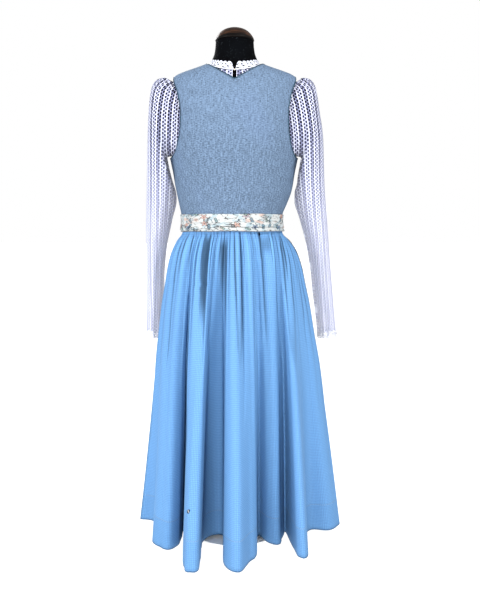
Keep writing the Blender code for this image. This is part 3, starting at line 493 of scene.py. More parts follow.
def hem_line(samples):
    """Evenly spaced places along the hem, each with its angles at waist and ring, and the hem's length."""
    turns = all_turns()
    count = len(turns)
    fine = []
    pieces = 24
    for index in range(count):
        near = [turns[(index + offset) % count] for offset in (-1, 0, 1, 2)]
        lap = 360.0 if index == count - 1 else 0.0
        for piece in range(pieces):
            t = piece / pieces
            fine.append(Turn(through(*[turn.x for turn in near], t), through(*[turn.y for turn in near], t),
                             near[1].waist + (near[2].waist + lap - near[1].waist) * t,
                             near[1].ring + (near[2].ring + lap - near[1].ring) * t))
    first = fine[0]
    fine.append(Turn(first.x, first.y, first.waist + 360.0, first.ring + 360.0))
    lengths = [0.0]
    for before, after in zip(fine, fine[1:]):
        lengths.append(lengths[-1] + math.hypot(after.x - before.x, after.y - before.y))
    places = []
    index = 0
    for sample in range(samples):
        wanted = lengths[-1] * sample / samples
        while wanted > lengths[index + 1]:
            index += 1
        t = (wanted - lengths[index]) / (lengths[index + 1] - lengths[index])
        places.append(Turn(*[a + (b - a) * t for a, b in zip(fine[index], fine[index + 1])]))
    return places, lengths[-1]


def fall(height):
    """How far down the skirt a height is, from 0 at the waist seam to 1 at the hem."""
    return (WAIST_SEAM - height) / (WAIST_SEAM - HEM)


def gather_depth(height):
    """Half the depth of the small gathers, which run out below the hips."""
    t = max(0.0, fall(height))
    return 1.6 * MM + 3.0 * MM * math.sin(math.pi * min(1.0, t / 0.5)) ** 0.7 * (1 - min(1.0, t / 0.6))


def outer_fall(waist, ring, height):
    """The skirt's outer ring at a height, before its folds."""
    start = skin(waist, WAIST_SEAM, SKIRT_LIFT + gather_depth(WAIST_SEAM) * 0.6)
    end = ring_point(ring)
    share = SPREAD_TABLE.at(height, "share")
    return Vector((start.x + (end.x - start.x) * share, start.y + (end.y - start.y) * share, height))


def bump_at(value, middle, width):
    """1 at the middle, falling to 0 a width away on each side."""
    away = min(1.0, abs(value - middle) / width)
    return (1 - away * away) ** 2


def rough(x, y, z):
    """Smooth noise from about -1 to 1."""
    return noise.noise(Vector((x, y, z)))


# Shaders


class Link:
    """A node's output. Sums, products and powers of it add Math nodes."""

    def __init__(self, shader, socket):
        self.shader = shader
        self.socket = socket

    def math(self, operation, *others):
        return self.shader.node("ShaderNodeMath", {"operation": operation}, dict(enumerate((self, *others))))

    def __add__(self, other):
        return self.math("ADD", other)

    __radd__ = __add__

    def __mul__(self, other):
        return self.math("MULTIPLY", other)

    def __sub__(self, other):
        return self.math("SUBTRACT", other)

    def __rsub__(self, other):
        return self.shader.node("ShaderNodeMath", {"operation": "SUBTRACT"}, {0: other, 1: self})

    def __truediv__(self, other):
        return self.math("DIVIDE", other)

    def __pow__(self, other):
        return self.math("POWER", other)

    def __abs__(self):
        return self.math("ABSOLUTE")

    def sin(self):
        return self.math("SINE")

    def floor(self):
        return self.math("FLOOR")

    def fraction(self):
        return self.math("FRACT")

    def below(self, limit):
        return self.math("LESS_THAN", limit)

    def above(self, limit):
        return self.math("GREATER_THAN", limit)

    def larger(self, other):
        return self.math("MAXIMUM", other)

    def smaller(self, other):
        return self.math("MINIMUM", other)

    def rise(self, low, high):
        """0 below low, 1 above high, and smooth between them."""
        settings = {"interpolation_type": "SMOOTHSTEP", "clamp": True}
        return self.shader.node("ShaderNodeMapRange", settings, {0: self, 1: low, 2: high, 3: 0.0, 4: 1.0})


class Shader:
    """A material whose nodes are added one by one."""

    def __init__(self, name):
        self.material = bpy.data.materials.new(name + "Finish")
        self.material.use_nodes = True
        self.tree = self.material.node_tree
        self.surface = self.tree.nodes["Principled BSDF"]

    def node(self, kind, settings=None, inputs=None, output=0):
        made = self.tree.nodes.new(kind)
        for name, value in (settings or {}).items():
            setattr(made, name, value)
        for name, value in (inputs or {}).items():
            self.feed(made.inputs[name], value)
        return Link(self, made.outputs[output])

    def feed(self, socket, value):
        if isinstance(value, Link):
            self.tree.links.new(value.socket, socket)
        else:
            socket.default_value = value

    def set(self, name, value):
        self.feed(self.surface.inputs[name], value)

    def cloth(self):
        """The cloth's own coordinates in metres, across and along."""
        return self.split(self.node("ShaderNodeUVMap", {"uv_map": "Cloth"}))[:2]

    def split(self, vector):
        """The three parts of a vector or a colour."""
        parts = self.tree.nodes.new("ShaderNodeSeparateXYZ")
        self.feed(parts.inputs[0], vector)
        return [Link(self, part) for part in parts.outputs]

    def join(self, x, y, z=0.0):
        return self.node("ShaderNodeCombineXYZ", None, {0: x, 1: y, 2: z})

    def space(self):
        return self.node("ShaderNodeTexCoord", None, None, "Object")

    def noise(self, vector, scale=1.0, detail=2.0, roughness=0.5):
        inputs = {"Vector": vector, "Scale": scale, "Detail": detail, "Roughness": roughness}
        return self.node("ShaderNodeTexNoise", None, inputs)

    def mix(self, share, first, second):
        """Two colours in shares."""
        return self.node("ShaderNodeMix", {"data_type": "RGBA"}, {0: share, 6: first, 7: second}, 2)

    def matt(self, roughness, gloss=0.12):
        """A cloth's dull surface."""
        self.set("Roughness", roughness)
        self.set("Specular IOR Level", gloss)

    def finished(self, tone, height, distance, strength):
        """The material, with its colour and with its fine relief over so many metres."""
        relief = {"Height": height, "Distance": distance, "Strength": strength}
        self.set("Base Color", tone)
        self.set("Normal", self.node("ShaderNodeBump", None, relief))
        return self.material


def colour(red, green, blue):
    """A colour from its usual numbers up to 255."""
    linear = []
    for value in (red, green, blue):
        share = value / 255.0
        linear.append(share / 12.92 if share <= 0.04045 else ((share + 0.055) / 1.055) ** 2.4)
    return (*linear, 1.0)


def settings():
    return bpy.context.scene.dirndl


def shade(base, factor):
    return (base[0] * factor, base[1] * factor, base[2] * factor, 1.0)


def chambray():
    """Plain weave of blue and white threads, with fine dark slubs along the weft."""
    shader = Shader("Chambray")
    across, along = shader.cloth()
    base = settings().chambray_colour
    weft = shader.noise(shader.join(across * 240.0, along * 780.0), 1.0, 1.0, 0.5)
    slub = shader.noise(shader.join(across * 190.0, along * 640.0, 4.0), 1.0, 1.0, 0.5)
    warp = shader.noise(shader.join(across * 440.0, along * 50.0, 9.0), 1.0, 2.0, 0.6)
    cloud = shader.noise(shader.join(across * 9.0, along * 7.0, 2.0), 1.0, 2.0)
    # Painted light and shade: the cloth is lighter towards the top and darker towards the bottom.
    low = 1.0 - along.rise(0.94, 1.13)
    tone = shader.mix(low, shade(base, 1.16), shade(base, 0.92))
    tone = shader.mix(weft.rise(0.45, 0.58) * 0.52, tone, shade(base, 0.58))
    tone = shader.mix(warp.rise(0.50, 0.62) * 0.52, tone, shade(base, 1.50))
    tone = shader.mix((1.0 - warp.rise(0.38, 0.46)) * 0.46, tone, shade(base, 0.58))
    tone = shader.mix((1.0 - slub.rise(0.36, 0.43)) * 0.66, tone, shade(base, 0.34))
    tone = shader.mix(slub.rise(0.55, 0.63) * 0.44, tone, shade(base, 1.75))
    tone = shader.mix(cloud.rise(0.52, 0.72) * 0.14, tone, (0.10, 0.15, 0.26, 1.0))
    shader.matt(0.88)
    height = weft * 0.7 + slub * 0.9 + warp * 0.5
    return shader.finished(tone, height, 0.0008, 0.6)


def skirt_cotton():
    """Blue cotton with a minute white check, a stitched hem and a tear; painted shade at the tear, along the
    hem's edge and in the creases, and painted highlights on the ridges.
    """
    shader = Shader("SkirtCotton")
    across, along = shader.cloth()
    base = settings().skirt_colour
    turn = 2 * math.pi
    check = (across * (turn / FINE_CHECK)).sin() * (along * (turn / FINE_CHECK)).sin()
    slant = ((across + along) * (turn / SLANT_CHECK)).sin() * ((across - along) * (turn / SLANT_CHECK)).sin()
    weft = shader.noise(shader.join(across * 160.0, along * 260.0), 1.0, 2.0)
    cloud = shader.noise(shader.join(across * 7.0, along * 4.0, 3.0), 1.0, 2.0)
    tone = shader.mix(check.rise(0.1, 0.9) * 0.30, base, (0.25, 0.34, 0.52, 1.0))
    tone = shader.mix(slant.rise(0.0, 0.9) * 0.50, tone, shade(base, 1.60))
    tone = shader.mix((1.0 - slant.rise(-0.8, 0.0)) * 0.42, tone, shade(base, 0.62))
    tone = shader.mix(weft.rise(0.50, 0.66) * 0.16, tone, shade(base, 0.70))
    tone = shader.mix(cloud.rise(0.45, 0.75) * 0.12, tone, shade(base, 0.78))
    in_hem = 1.0 - along.rise(HEM_STITCH - 0.0004, HEM_STITCH + 0.0004)
    tone = shader.mix(in_hem * 0.16, tone, shade(base, 0.74))
    near_stitch = 1.0 - abs(along - HEM_STITCH).rise(0.0006, 0.0022)
    dashes = (across / HEM_STITCH_LENGTH).fraction().below(0.62)
    tone = shader.mix(near_stitch * 0.45, tone, shade(base, 0.62))
    tone = shader.mix(near_stitch * dashes * 0.22, tone, (0.26, 0.36, 0.48, 1.0))
    # Painted shade along the hem's folded lower edge.
    edge = 1.0 - along.rise(0.0018, 0.0040)
    tone = shader.mix(edge * 0.6, tone, shade(base, 0.40))
    # Painted shade: a near-black patch over and round the tear, for the dark inside seen through it.
    east, north, height = shader.split(shader.space())
    tear_shade_x = (east - TEAR.x + (height - TEAR.z) * 0.4) / 0.0038
    tear_shade_z = (height - TEAR.z) / 0.0062
    painted_tear_shade = (1.0 - (tear_shade_x * tear_shade_x + tear_shade_z * tear_shade_z).rise(0.5, 1.1)) * north.above(0.10)
    tone = shader.mix(painted_tear_shade * 0.92, tone, shade(base, 0.08))
    # Painted shade in the creases of the gathers, and a painted highlight on their ridges, from the rule's
    # Crease value.
    crease = shader.node("ShaderNodeAttribute", {"attribute_name": "Crease"}, None, "Fac")
    tone = shader.mix(crease.rise(0.14, 0.62) * 0.88, tone, shade(base, 0.19))
    tone = shader.mix((crease * -1.0).rise(0.25, 0.80) * 0.45, tone, shade(base, 1.50))
    shader.matt(0.80)
    height = slant * 0.3 + weft * 0.6 - near_stitch * 1.6
    return shader.finished(tone, height, 0.0006, 0.5)


def flowers(shader, across, along, size, seed):
    """Blossoms strewn over a cloth: their own distance, angle and tint, from cells of that size."""
    place = shader.join(across / size, along / size, seed)
    settings_of = {"feature": "F1", "voronoi_dimensions": "2D"}
    inputs = {"Vector": place, "Scale": 1.0, "Randomness": 0.85}
    cell = shader.node("ShaderNodeTexVoronoi", settings_of, inputs, "Position")
    tint = shader.node("ShaderNodeTexVoronoi", settings_of, inputs, "Color")
    away = shader.node("ShaderNodeVectorMath", {"operation": "SUBTRACT"}, {0: place, 1: cell})
    x, y, _ = shader.split(away)
    angle = y.math("ARCTAN2", x)
    distance = (x * x + y * y) ** 0.5
    return distance, angle, shader.split(tint)


def print_cotton():
    """Cream cotton with a small print of blossoms, leaves and thin dark twigs."""
    shader = Shader("PrintCotton")
    across, along = shader.cloth()
    tone = settings().print_ground
    cloud = shader.noise(shader.join(across * 52.0, along * 60.0, 1.0), 1.0, 1.0)
    blush = shader.noise(shader.join(across * 26.0, along * 40.0, 6.0), 1.0, 1.0)
    tone = shader.mix(cloud.rise(0.50, 0.62) * 0.60, tone, print_tint(166, 200, 214))
    tone = shader.mix(blush.rise(0.58, 0.68) * 0.60, tone, print_tint(240, 196, 176))
    for size, seed, petals, first, second in (
            (0.0340, 0.0, 5.0, print_tint(92, 132, 178), print_tint(232, 176, 156)),
            (0.0250, 3.0, 2.0, print_tint(140, 170, 158), print_tint(92, 138, 160))):
        distance, angle, tint = flowers(shader, across + seed * 0.0037, along, size, seed)
        edge = (angle * petals + tint[1] * 6.0).sin() * 0.09 + 0.17 + tint[0] * 0.05
        shown = tint[1].above(0.42)
        shape = (1.0 - (distance - edge).rise(-0.02, 0.02)) * shown
        rim = (1.0 - abs(distance - edge).rise(0.018, 0.048)) * shown
        heart = (1.0 - distance.rise(0.035, 0.060)) * shown
        petal = shader.mix(tint[0].rise(0.35, 0.65), first, second)
        tone = shader.mix(shape * 0.75, tone, petal)
        tone = shader.mix(rim * 0.75, tone, print_tint(30, 42, 60))
        tone = shader.mix(heart * 0.9, tone, print_tint(34, 44, 66))
    twig = shader.noise(shader.join(across * 46.0, along * 66.0, 7.0), 1.0, 2.0)
    vine = shader.noise(shader.join(across * 24.0, along * 44.0, 5.0), 1.0, 3.0)
    broken = shader.noise(shader.join(across * 90.0, along * 90.0, 12.0), 1.0, 1.0).rise(0.46, 0.56)
    twigs = (1.0 - abs(twig - 0.5).rise(0.008, 0.030)) * broken
    vines = 1.0 - abs(vine - 0.56).rise(0.005, 0.022)
    tone = shader.mix(twigs * 0.75, tone, print_tint(60, 50, 50))
    tone = shader.mix(vines * 0.85, tone, print_tint(30, 40, 52))
    # Painted shade along the edge where the cloth's length starts: the lower edges of the sash, the knot and
    # the loops, and the tails' tops under the knot.
    edge = 1.0 - along.rise(0.0010, 0.0034)
    tone = shader.mix(edge * 0.7, tone, print_tint(90, 92, 98))
    shader.matt(0.78)
    crease = shader.noise(shader.join(across * 16.0, along * 150.0, 8.0), 1.0, 2.0)
    return shader.finished(tone, crease, 0.0012, 0.7)


def print_tint(red, green, blue):
    """A printed colour, at the depth that the print's ground has under the stage's light."""
    return shade(colour(red, green, blue), 0.385)


def lace(name, open_share):
    """Bobbin lace in columns: plaited ribs, and between them two staggered rows of small holes."""
    shader = Shader(name)
    across, along = shader.cloth()
    base = settings().lace_colour
    wobble = shader.noise(shader.join(across * 60.0, along * 60.0, 2.0), 1.0, 1.0) - 0.5
    across = across + wobble * 0.0026
    along = along + wobble * 0.0022
    column = across / LACE_COLUMN
    share = column.fraction()
    odd = (column.floor() * 0.5).fraction() * 2.0
    left_y = (along / LACE_PITCH).fraction() - 0.5
    right_y = (along / LACE_PITCH + 0.5).fraction() - 0.5
    left_x = share - 0.30
    right_x = share - 0.70
    left = left_x * left_x * 33.0 + left_y * left_y * 7.5
    net = left.smaller(right_x * right_x * 33.0 + right_y * right_y * 7.5)
    net = net * (1.25 - odd * 0.45)
    # Towards the top the holes are larger, the painted shade is deeper and the painted glow weaker.
    high = along.rise(0.76, 1.08)
    net = net - high * 0.20
    hole = 1.0 - net.rise(0.70, 1.10)
    rib = abs(share - 0.5).rise(0.40, 0.46)
    plait = (along * (math.pi / 0.0034) + share * 9.0).sin()
    # Painted shade round the holes and in speckles, in a shaded violet, stronger towards the top.
    shadow = 1.0 - net.rise(1.0, 2.2)
    mesh = shader.noise(shader.join(across * 300.0, along * 300.0, 5.0), 1.0, 1.0)
    shade_violet = (base[0] * 0.34, base[1] * 0.36, base[2] * 0.60, 1.0)
    tone = shader.mix(shadow * (0.70 + high * 0.18), base, shade_violet)
    tone = shader.mix(mesh.rise(0.48, 0.62) * (0.20 + high * 0.30), tone, shade_violet)
    tone = shader.mix(rib * 0.90, tone, shade(base, 1.35))
    # Painted shade in the holes: near black and nearly opaque, darkest towards the top.
    deep = (0.30 + high * (0.52 + abs(across).rise(0.010, 0.060) * 0.18)) * hole
    dark = (0.006, 0.006, 0.012, 1.0)
    shader.matt(0.85)
    # Painted glow: the threads give off light, most towards the wrist and least at the top, standing in for
    # light through the lace.
    glow = shader.mix(along.rise(0.55, 0.85), shade(base, 3.4), shade(base, 1.9))
    glow = shader.mix(high, glow, shade(base, 0.7))
    shader.set("Emission Color", shader.mix(deep, glow, dark))
    shader.set("Emission Strength", settings().lace_glow)
    shader.set("Alpha", 1.0 - hole * open_share * (1.0 - deep * 0.95))
    relief = rib * (1.2 + plait * 0.5) - shadow * 0.5
    return shader.finished(shader.mix(deep, tone, dark), relief, 0.0012, 0.9)


def collar_lace():
    """The collar's and cuffs' lace: slanted slits and dots in a dense ground, between firm edges."""
    shader = Shader("CollarLace")
    across, along = shader.cloth()
    base = settings().lace_colour
    slit_x = (across / 0.0120 + along / 0.0260).fraction() - 0.5
    slit_y = (along / 0.0092 + (across / 0.0120).floor() * 0.5).fraction() - 0.5
    slit = slit_x * slit_x * 16.0 + slit_y * slit_y * 26.0
    dot_x = (across / 0.0060).fraction() - 0.5
    dot_y = (along / 0.0115 + 0.15).fraction() - 0.5
    dot = dot_x * dot_x * 24.0 + dot_y * dot_y * 90.0
    band = (1.0 - abs(along - 0.0015).rise(0.0014, 0.0022)) + (1.0 - abs(along - 0.0195).rise(0.0016, 0.0026))
    free = 1.0 - band.smaller(1.0)
    hole = (1.0 - slit.rise(0.70, 1.05)).larger(1.0 - dot.rise(0.75, 1.10)) * free
    shadow = (1.0 - slit.rise(0.9, 2.2)) * free
    tone = shader.mix(shadow * 0.9, shade(base, 0.98), shade(base, 0.30))
    shader.matt(0.85)
    # Painted glow: the lace gives off a little light.
    shader.set("Emission Color", shade(base, 0.5))
    shader.set("Emission Strength", settings().lace_glow)
    shader.set("Alpha", 1.0 - hole * 0.92)
    return shader.finished(tone, band - shadow, 0.0008, 0.7)


def piping_satin():
    """Dark satin bias binding over a cord."""
    shader = Shader("PipingSatin")
    place = shader.space()
    grain = shader.noise(place, 2400.0, 2.0)
    patch = shader.noise(place, 60.0, 2.0)
    base = settings().piping_colour
    tone = shader.mix(grain.rise(0.4, 0.7) * 0.5, base, shade(base, 2.2))
    tone = shader.mix(patch.rise(0.4, 0.7) * 0.3, tone, (0.02, 0.09, 0.14, 1.0))
    shader.set("Roughness", 0.50)
    shader.set("Specular IOR Level", 0.15)
    return shader.finished(tone, grain, 0.0003, 0.5)


def jersey():
    """Black knitted cover, with a little lint."""
    shader = Shader("FormCover")
    place = shader.space()
    x, _, z = shader.split(place)
    knit = (x * 5200.0).sin() * (z * 4200.0).sin()
    lint = shader.noise(place, 700.0, 1.0)
    cloud = shader.noise(place, 14.0, 3.0)
    tone = shader.mix(cloud.rise(0.35, 0.70), colour(1, 1, 2), colour(3, 4, 6))
    tone = shader.mix(lint.rise(0.74, 0.78) * 0.5, tone, colour(110, 122, 130))
    shader.matt(0.95, 0.03)
    return shader.finished(tone, knit * 0.5 + cloud * 0.5, 0.0003, 0.5)


def dark_wood():
    """Dark waxed wood with a dark stain, and its grain across the cap."""
    shader = Shader("DarkWood")
    place = shader.space()
    along_grain = {0: place, 1: (18.0, 160.0, 160.0)}
    stretch = shader.node("ShaderNodeVectorMath", {"operation": "MULTIPLY"}, along_grain)
    grain = shader.noise(stretch, 1.0, 4.0, 0.6)
    pores = shader.noise(stretch, 6.0, 2.0)
    tone = shader.mix(grain.rise(0.35, 0.65), colour(20, 11, 7), colour(48, 29, 18))
    tone = shader.mix(pores.rise(0.60, 0.72) * 0.6, tone, colour(14, 8, 5))
    _, back, height = shader.split(place)
    # Near black below the cap's dark line, which is higher towards the back.
    dark_below = 1.0 - (height - back.larger(0.0) * 0.28).rise(CAP_DARK_LINE - 0.0010, CAP_DARK_LINE + 0.0014)
    tone = shader.mix(dark_below * 0.94, tone, colour(3, 3, 3))
    shader.set("Roughness", 0.42 + grain * 0.12)
    shader.set("Specular IOR Level", 0.05)
    return shader.finished(tone, pores * -1.0, 0.0003, 0.4)


def pale_lacquer():
    """White sprayed metal, a little dusty and scuffed."""
    shader = Shader("PaleLacquer")
    place = shader.space()
    peel = shader.noise(place, 420.0, 2.0)
    dust = shader.noise(place, 22.0, 4.0, 0.6)
    tone = shader.mix(dust.rise(0.5, 0.75) * 0.4, colour(238, 238, 236), colour(214, 212, 206))
    shader.set("Roughness", 0.32 + dust * 0.2)
    return shader.finished(tone, peel, 0.0002, 0.2)


def horn():
    """Pale horn with soft darker bands."""
    shader = Shader("Horn")
    place = shader.space()
    band = shader.noise(place, 260.0, 3.0, 0.6)
    fleck = shader.noise(place, 1500.0, 1.0)
    tone = shader.mix(band.rise(0.38, 0.66), colour(222, 216, 204), colour(176, 160, 138))
    tone = shader.mix(fleck.rise(0.62, 0.72) * 0.4, tone, colour(120, 104, 86))
    shader.set("Roughness", 0.30 + band * 0.15)
    shader.set("Coat Weight", 0.2)
    return shader.finished(tone, band, 0.0002, 0.3)


def sewing_thread():
    """Twisted cotton thread."""
    shader = Shader("SewingThread")
    place = shader.space()
    twist = shader.noise(place, 3600.0, 1.0)
    tone = shader.mix(twist.rise(0.4, 0.6), colour(74, 104, 140), colour(132, 160, 190))
    shader.set("Roughness", 0.8)
    return shader.finished(tone, twist, 0.0003, 0.8)


FINISHES = {
    "Chambray": chambray,
    "SkirtCotton": skirt_cotton,
    "PrintCotton": print_cotton,
    "SleeveLace": lambda: lace("SleeveLace", 0.92),
    "BodyLace": lambda: lace("BodyLace", 0.80),
    "CollarLace": collar_lace,
    "PipingSatin": piping_satin,
    "FormCover": jersey,
    "DarkWood": dark_wood,
    "PaleLacquer": pale_lacquer,
    "Horn": horn,
    "SewingThread": sewing_thread,
}


def finish(name):
    return bpy.data.materials.get(name + "Finish") or FINISHES[name]()


# Making a piece


def cloth_piece(name, patches, columns, rows, thickness, finish_name, close_up=False):
    """A cloth wall: grids whose points and cloth coordinates come from a rule, joined, then thickened.

    A rule may give a third cloth value, how deep in a crease the point is, which the finish turns into
    painted shade; below 0, on a ridge, into a painted highlight.
    """
    shape = bmesh.new()
    layer = shape.loops.layers.uv.new("Cloth")
    crease = shape.verts.layers.float.new("Crease")
    for place in patches:
        placed = [[place(column / columns, row / rows) for column in range(columns + 1)]
                  for row in range(rows + 1)]
        verts = [[shape.verts.new(point) for point, cloth in line] for line in placed]
        for line, values in zip(verts, placed):
            for vert, (point, cloth) in zip(line, values):
                vert[crease] = cloth[2] if len(cloth) > 2 else 0.0
        for row in range(rows):
            for column in range(columns):
                corners = ((row, column), (row, column + 1), (row + 1, column + 1), (row + 1, column))
                face = shape.faces.new([verts[r][c] for r, c in corners])
                for loop, (r, c) in zip(face.loops, corners):
                    loop[layer].uv = placed[r][c][1][:2]
    bmesh.ops.remove_doubles(shape, verts=shape.verts, dist=1e-5 if close_up else 1e-6)
    mesh = bpy.data.meshes.new(name)
    shape.to_mesh(mesh)
    shape.free()
    made = bpy.data.objects.new(name, mesh)
    bpy.context.scene.collection.objects.link(made)
    mesh.materials.append(finish(finish_name))
    mesh.shade_smooth()
    if thickness:
        thicken = made.modifiers.new("Cloth", "SOLIDIFY")
        thicken.thickness = thickness
        thicken.offset = 1.0
        apply_modifiers(made)
    return made


def apply_modifiers(made):
    select_only(made)
    for modifier in list(made.modifiers):
        bpy.ops.object.modifier_apply(modifier=modifier.name)


def select_only(made):
    bpy.ops.object.select_all(action="DESELECT")
    made.select_set(True)
    bpy.context.view_layer.objects.active = made


def settle(made, slot, *nodes):
    """The piece stands for these solids and rides on the part."""
    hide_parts(*nodes)
    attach(made, "root")
    return made


def named(name, finish_name):
    """Name the piece that was just modelled, and put its place into its mesh."""
    made = bpy.context.active_object
    made.name = name
    made.data.name = name
    bpy.ops.object.transform_apply(location=True, rotation=True, scale=True)
    made.data.materials.clear()
    made.data.materials.append(finish(finish_name))
    return made


def edit_top_face(made):
    """Go into edit mode with only the faces that look up selected."""
    bpy.ops.object.mode_set(mode="EDIT")
    bpy.ops.mesh.select_mode(type="FACE")
    bpy.ops.mesh.select_all(action="DESELECT")
    bpy.ops.object.mode_set(mode="OBJECT")
    for face in made.data.polygons:
        face.select = face.normal.z > 0.9
    bpy.ops.object.mode_set(mode="EDIT")


def round_edges(made, width, segments, smooth_below, limit=30.0):
    """Bevel the edges sharper than limit, and shade smooth those below an angle, both in degrees."""
    bevel = made.modifiers.new("Rounded", "BEVEL")
    bevel.width = width
    bevel.segments = segments
    bevel.angle_limit = math.radians(limit)
    bevel.limit_method = "ANGLE"
    apply_modifiers(made)
    bpy.ops.object.shade_smooth_by_angle(angle=math.radians(smooth_below))


def soft_tube(name, points, radius, finish_name, cyclic):
    """A thin round piece along a list of points."""
    curve = bpy.data.curves.new(name, "CURVE")
    curve.dimensions = "3D"
    curve.bevel_depth = radius
    curve.bevel_resolution = 4
    curve.use_fill_caps = True
    spline = curve.splines.new("POLY")
    spline.points.add(len(points) - 1)
    for target, point in zip(spline.points, points):
        target.co = (*point, 1.0)
    spline.use_cyclic_u = cyclic
    made = bpy.data.objects.new(name, curve)
    bpy.context.scene.collection.objects.link(made)
    select_only(made)
    bpy.ops.object.convert(target="MESH")
    made = bpy.context.active_object
    made.data.materials.clear()
    made.data.materials.append(finish(finish_name))
    made.data.shade_smooth()
    return made


# The form


def make_torso():
    columns = 120
    rows = 130

    def place(u, v):
        if v < 0.5 / rows:
            return Vector((BODY[0].centre, 0.0, FORM_BOTTOM)), (0.0, 0.0)
        if v > 1 - 0.5 / rows:
            return Vector((BODY[-1].centre, 0.0, NECK_TOP)), (0.0, 1.0)
        height = FORM_BOTTOM + (CAP_PROFILE[0].height + MM - FORM_BOTTOM) * (v * rows - 1) / (rows - 2)
        covered = clamped((COVER_TOP - height) / COVER_FADE)
        return skin(360.0 * u, height, -FORM_SET_IN * covered), (u, height)
    made = cloth_piece("form_torso_cover", [place], columns, rows, 0.0, "FormCover")
    return settle(made, "FormCover", "form_torso")


def make_cap():
    """A turned dome: a short wall, then rings drawn in towards the top."""
    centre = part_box("form_cap")[0].lerp(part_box("form_cap")[1], 0.5)
    rings = CAP_PROFILE
    bpy.ops.object.select_all(action="DESELECT")
    depth = rings[1].height - rings[0].height
    bpy.ops.mesh.primitive_cylinder_add(vertices=96, radius=rings[0].radius, depth=depth,
                                        location=(centre.x, centre.y, rings[0].height + depth / 2))
    made = bpy.context.active_object
    edit_top_face(made)
    wide = rings[1].radius / rings[0].radius
    bpy.ops.transform.resize(value=(wide, wide, 1.0), center_override=(centre.x, centre.y, rings[1].height))
    for before, after in zip(rings[1:], rings[2:]):
        bpy.ops.mesh.extrude_region_move(
            TRANSFORM_OT_translate={"value": (0.0, 0.0, after.height - before.height)})
        narrower = after.radius / before.radius
        bpy.ops.transform.resize(value=(narrower, narrower, 1.0),
                                 center_override=(centre.x, centre.y, after.height))
    bpy.ops.object.mode_set(mode="OBJECT")
    made = named("form_cap_wood", "DarkWood")
    rounder = made.modifiers.new("Rounder", "SUBSURF")
    rounder.levels = 1
    rounder.render_levels = 1
    apply_modifiers(made)
    bpy.ops.object.shade_smooth_by_angle(angle=math.radians(60.0))
    return settle(made, "DarkWood", "form_cap")


def make_stand():
    low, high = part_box("form_base")
    middle = (low + high) / 2
    bpy.ops.object.select_all(action="DESELECT")
    bpy.ops.mesh.primitive_cylinder_add(vertices=128, radius=BASE_RADIUS, depth=BASE_HEIGHT, location=middle)
    made = named("form_base_plate", "PaleLacquer")
    round_edges(made, 1.6 * MM, 4, 40.0)
    settle(made, "PaleLacquer", "form_base")
    low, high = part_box("form_pole")
    bpy.ops.object.select_all(action="DESELECT")
    bpy.ops.mesh.primitive_cylinder_add(vertices=48, radius=POLE_RADIUS, depth=high.z - low.z,
                                        location=(0.0, 0.0, (high.z + low.z) / 2))
    pole = named("form_pole_tube", "PaleLacquer")
    round_edges(pole, 0.8 * MM, 2, 40.0)
    settle(pole, "PaleLacquer", "form_pole")


# The bodice


Crease = namedtuple("Crease", "degrees height width length depth lean")
BODICE_CREASES = [
    Crease(33.0, 0.845, 4.5, 0.055, 1.6 * MM, 30.0),
    Crease(39.0, 0.850, 4.0, 0.050, -1.2 * MM, 30.0),
    Crease(52.0, 0.848, 6.0, 0.045, 0.8 * MM, 40.0),
    Crease(148.0, 0.860, 6.0, 0.060, -1.3 * MM, -30.0),
    Crease(141.0, 0.855, 5.0, 0.055, 1.1 * MM, -30.0),
    Crease(129.0, 0.850, 6.0, 0.045, 0.8 * MM, -20.0),
    Crease(24.0, 0.945, 6.0, 0.050, 1.2 * MM, -60.0),
    Crease(156.0, 0.945, 6.0, 0.050, 1.2 * MM, 60.0),
    Crease(-40.0, 0.850, 6.0, 0.050, 1.2 * MM, 30.0),
    Crease(-140.0, 0.850, 6.0, 0.050, 1.2 * MM, -30.0),
]


def bodice_relief(degrees, height):
    """Soft creases and the slight waves of worn cloth."""
    lift = 0.5 * MM * rough(degrees * 0.045, height * 9.0, 3.0)
    for crease in BODICE_CREASES:
        middle = crease.degrees + (height - crease.height) * crease.lean
        lift += (crease.depth * bump_at(degrees, middle, crease.width)
                 * bump_at(height, crease.height, crease.length))
    return lift


def make_bodice_cloth():
    back = half_panel(*bodice_edges(1), BODICE_LIFT, 1, BACK_NECK_ROW, relief=bodice_relief)
    front = half_panel(*bodice_edges(-1), BODICE_LIFT, -1, FRONT_NECK_ROW, SEAM_GAP, bodice_relief)
    made = cloth_piece("bodice_back_cloth", [back, mirrored(back)], BODICE_COLUMNS, BODICE_ROWS, BODICE_CLOTH,
                       "Chambray", True)
    settle(made, "Chambray", "bodice_back")
    for word, place in (("left", front), ("right", mirrored(front))):
        made = cloth_piece(f"bodice_front_{word}_cloth", [place], BODICE_COLUMNS, BODICE_ROWS, BODICE_CLOTH,
                           "Chambray")
        settle(made, "Chambray", f"bodice_front_{word}")


def beside_edge(pairs, lift, out):
    """Points along a panel's edge, lifted off the form and moved out past the edge."""
    points = [skin(degrees, height, lift) for degrees, height in pairs]
    moved = []
    for index, (degrees, height) in enumerate(pairs):
        before = points[max(index - 1, 0)]
        after = points[min(index + 1, len(points) - 1)]
        away = (after - before).normalized().cross(body_normal(math.radians(degrees), height))
        moved.append(points[index] + away * out)
    return moved


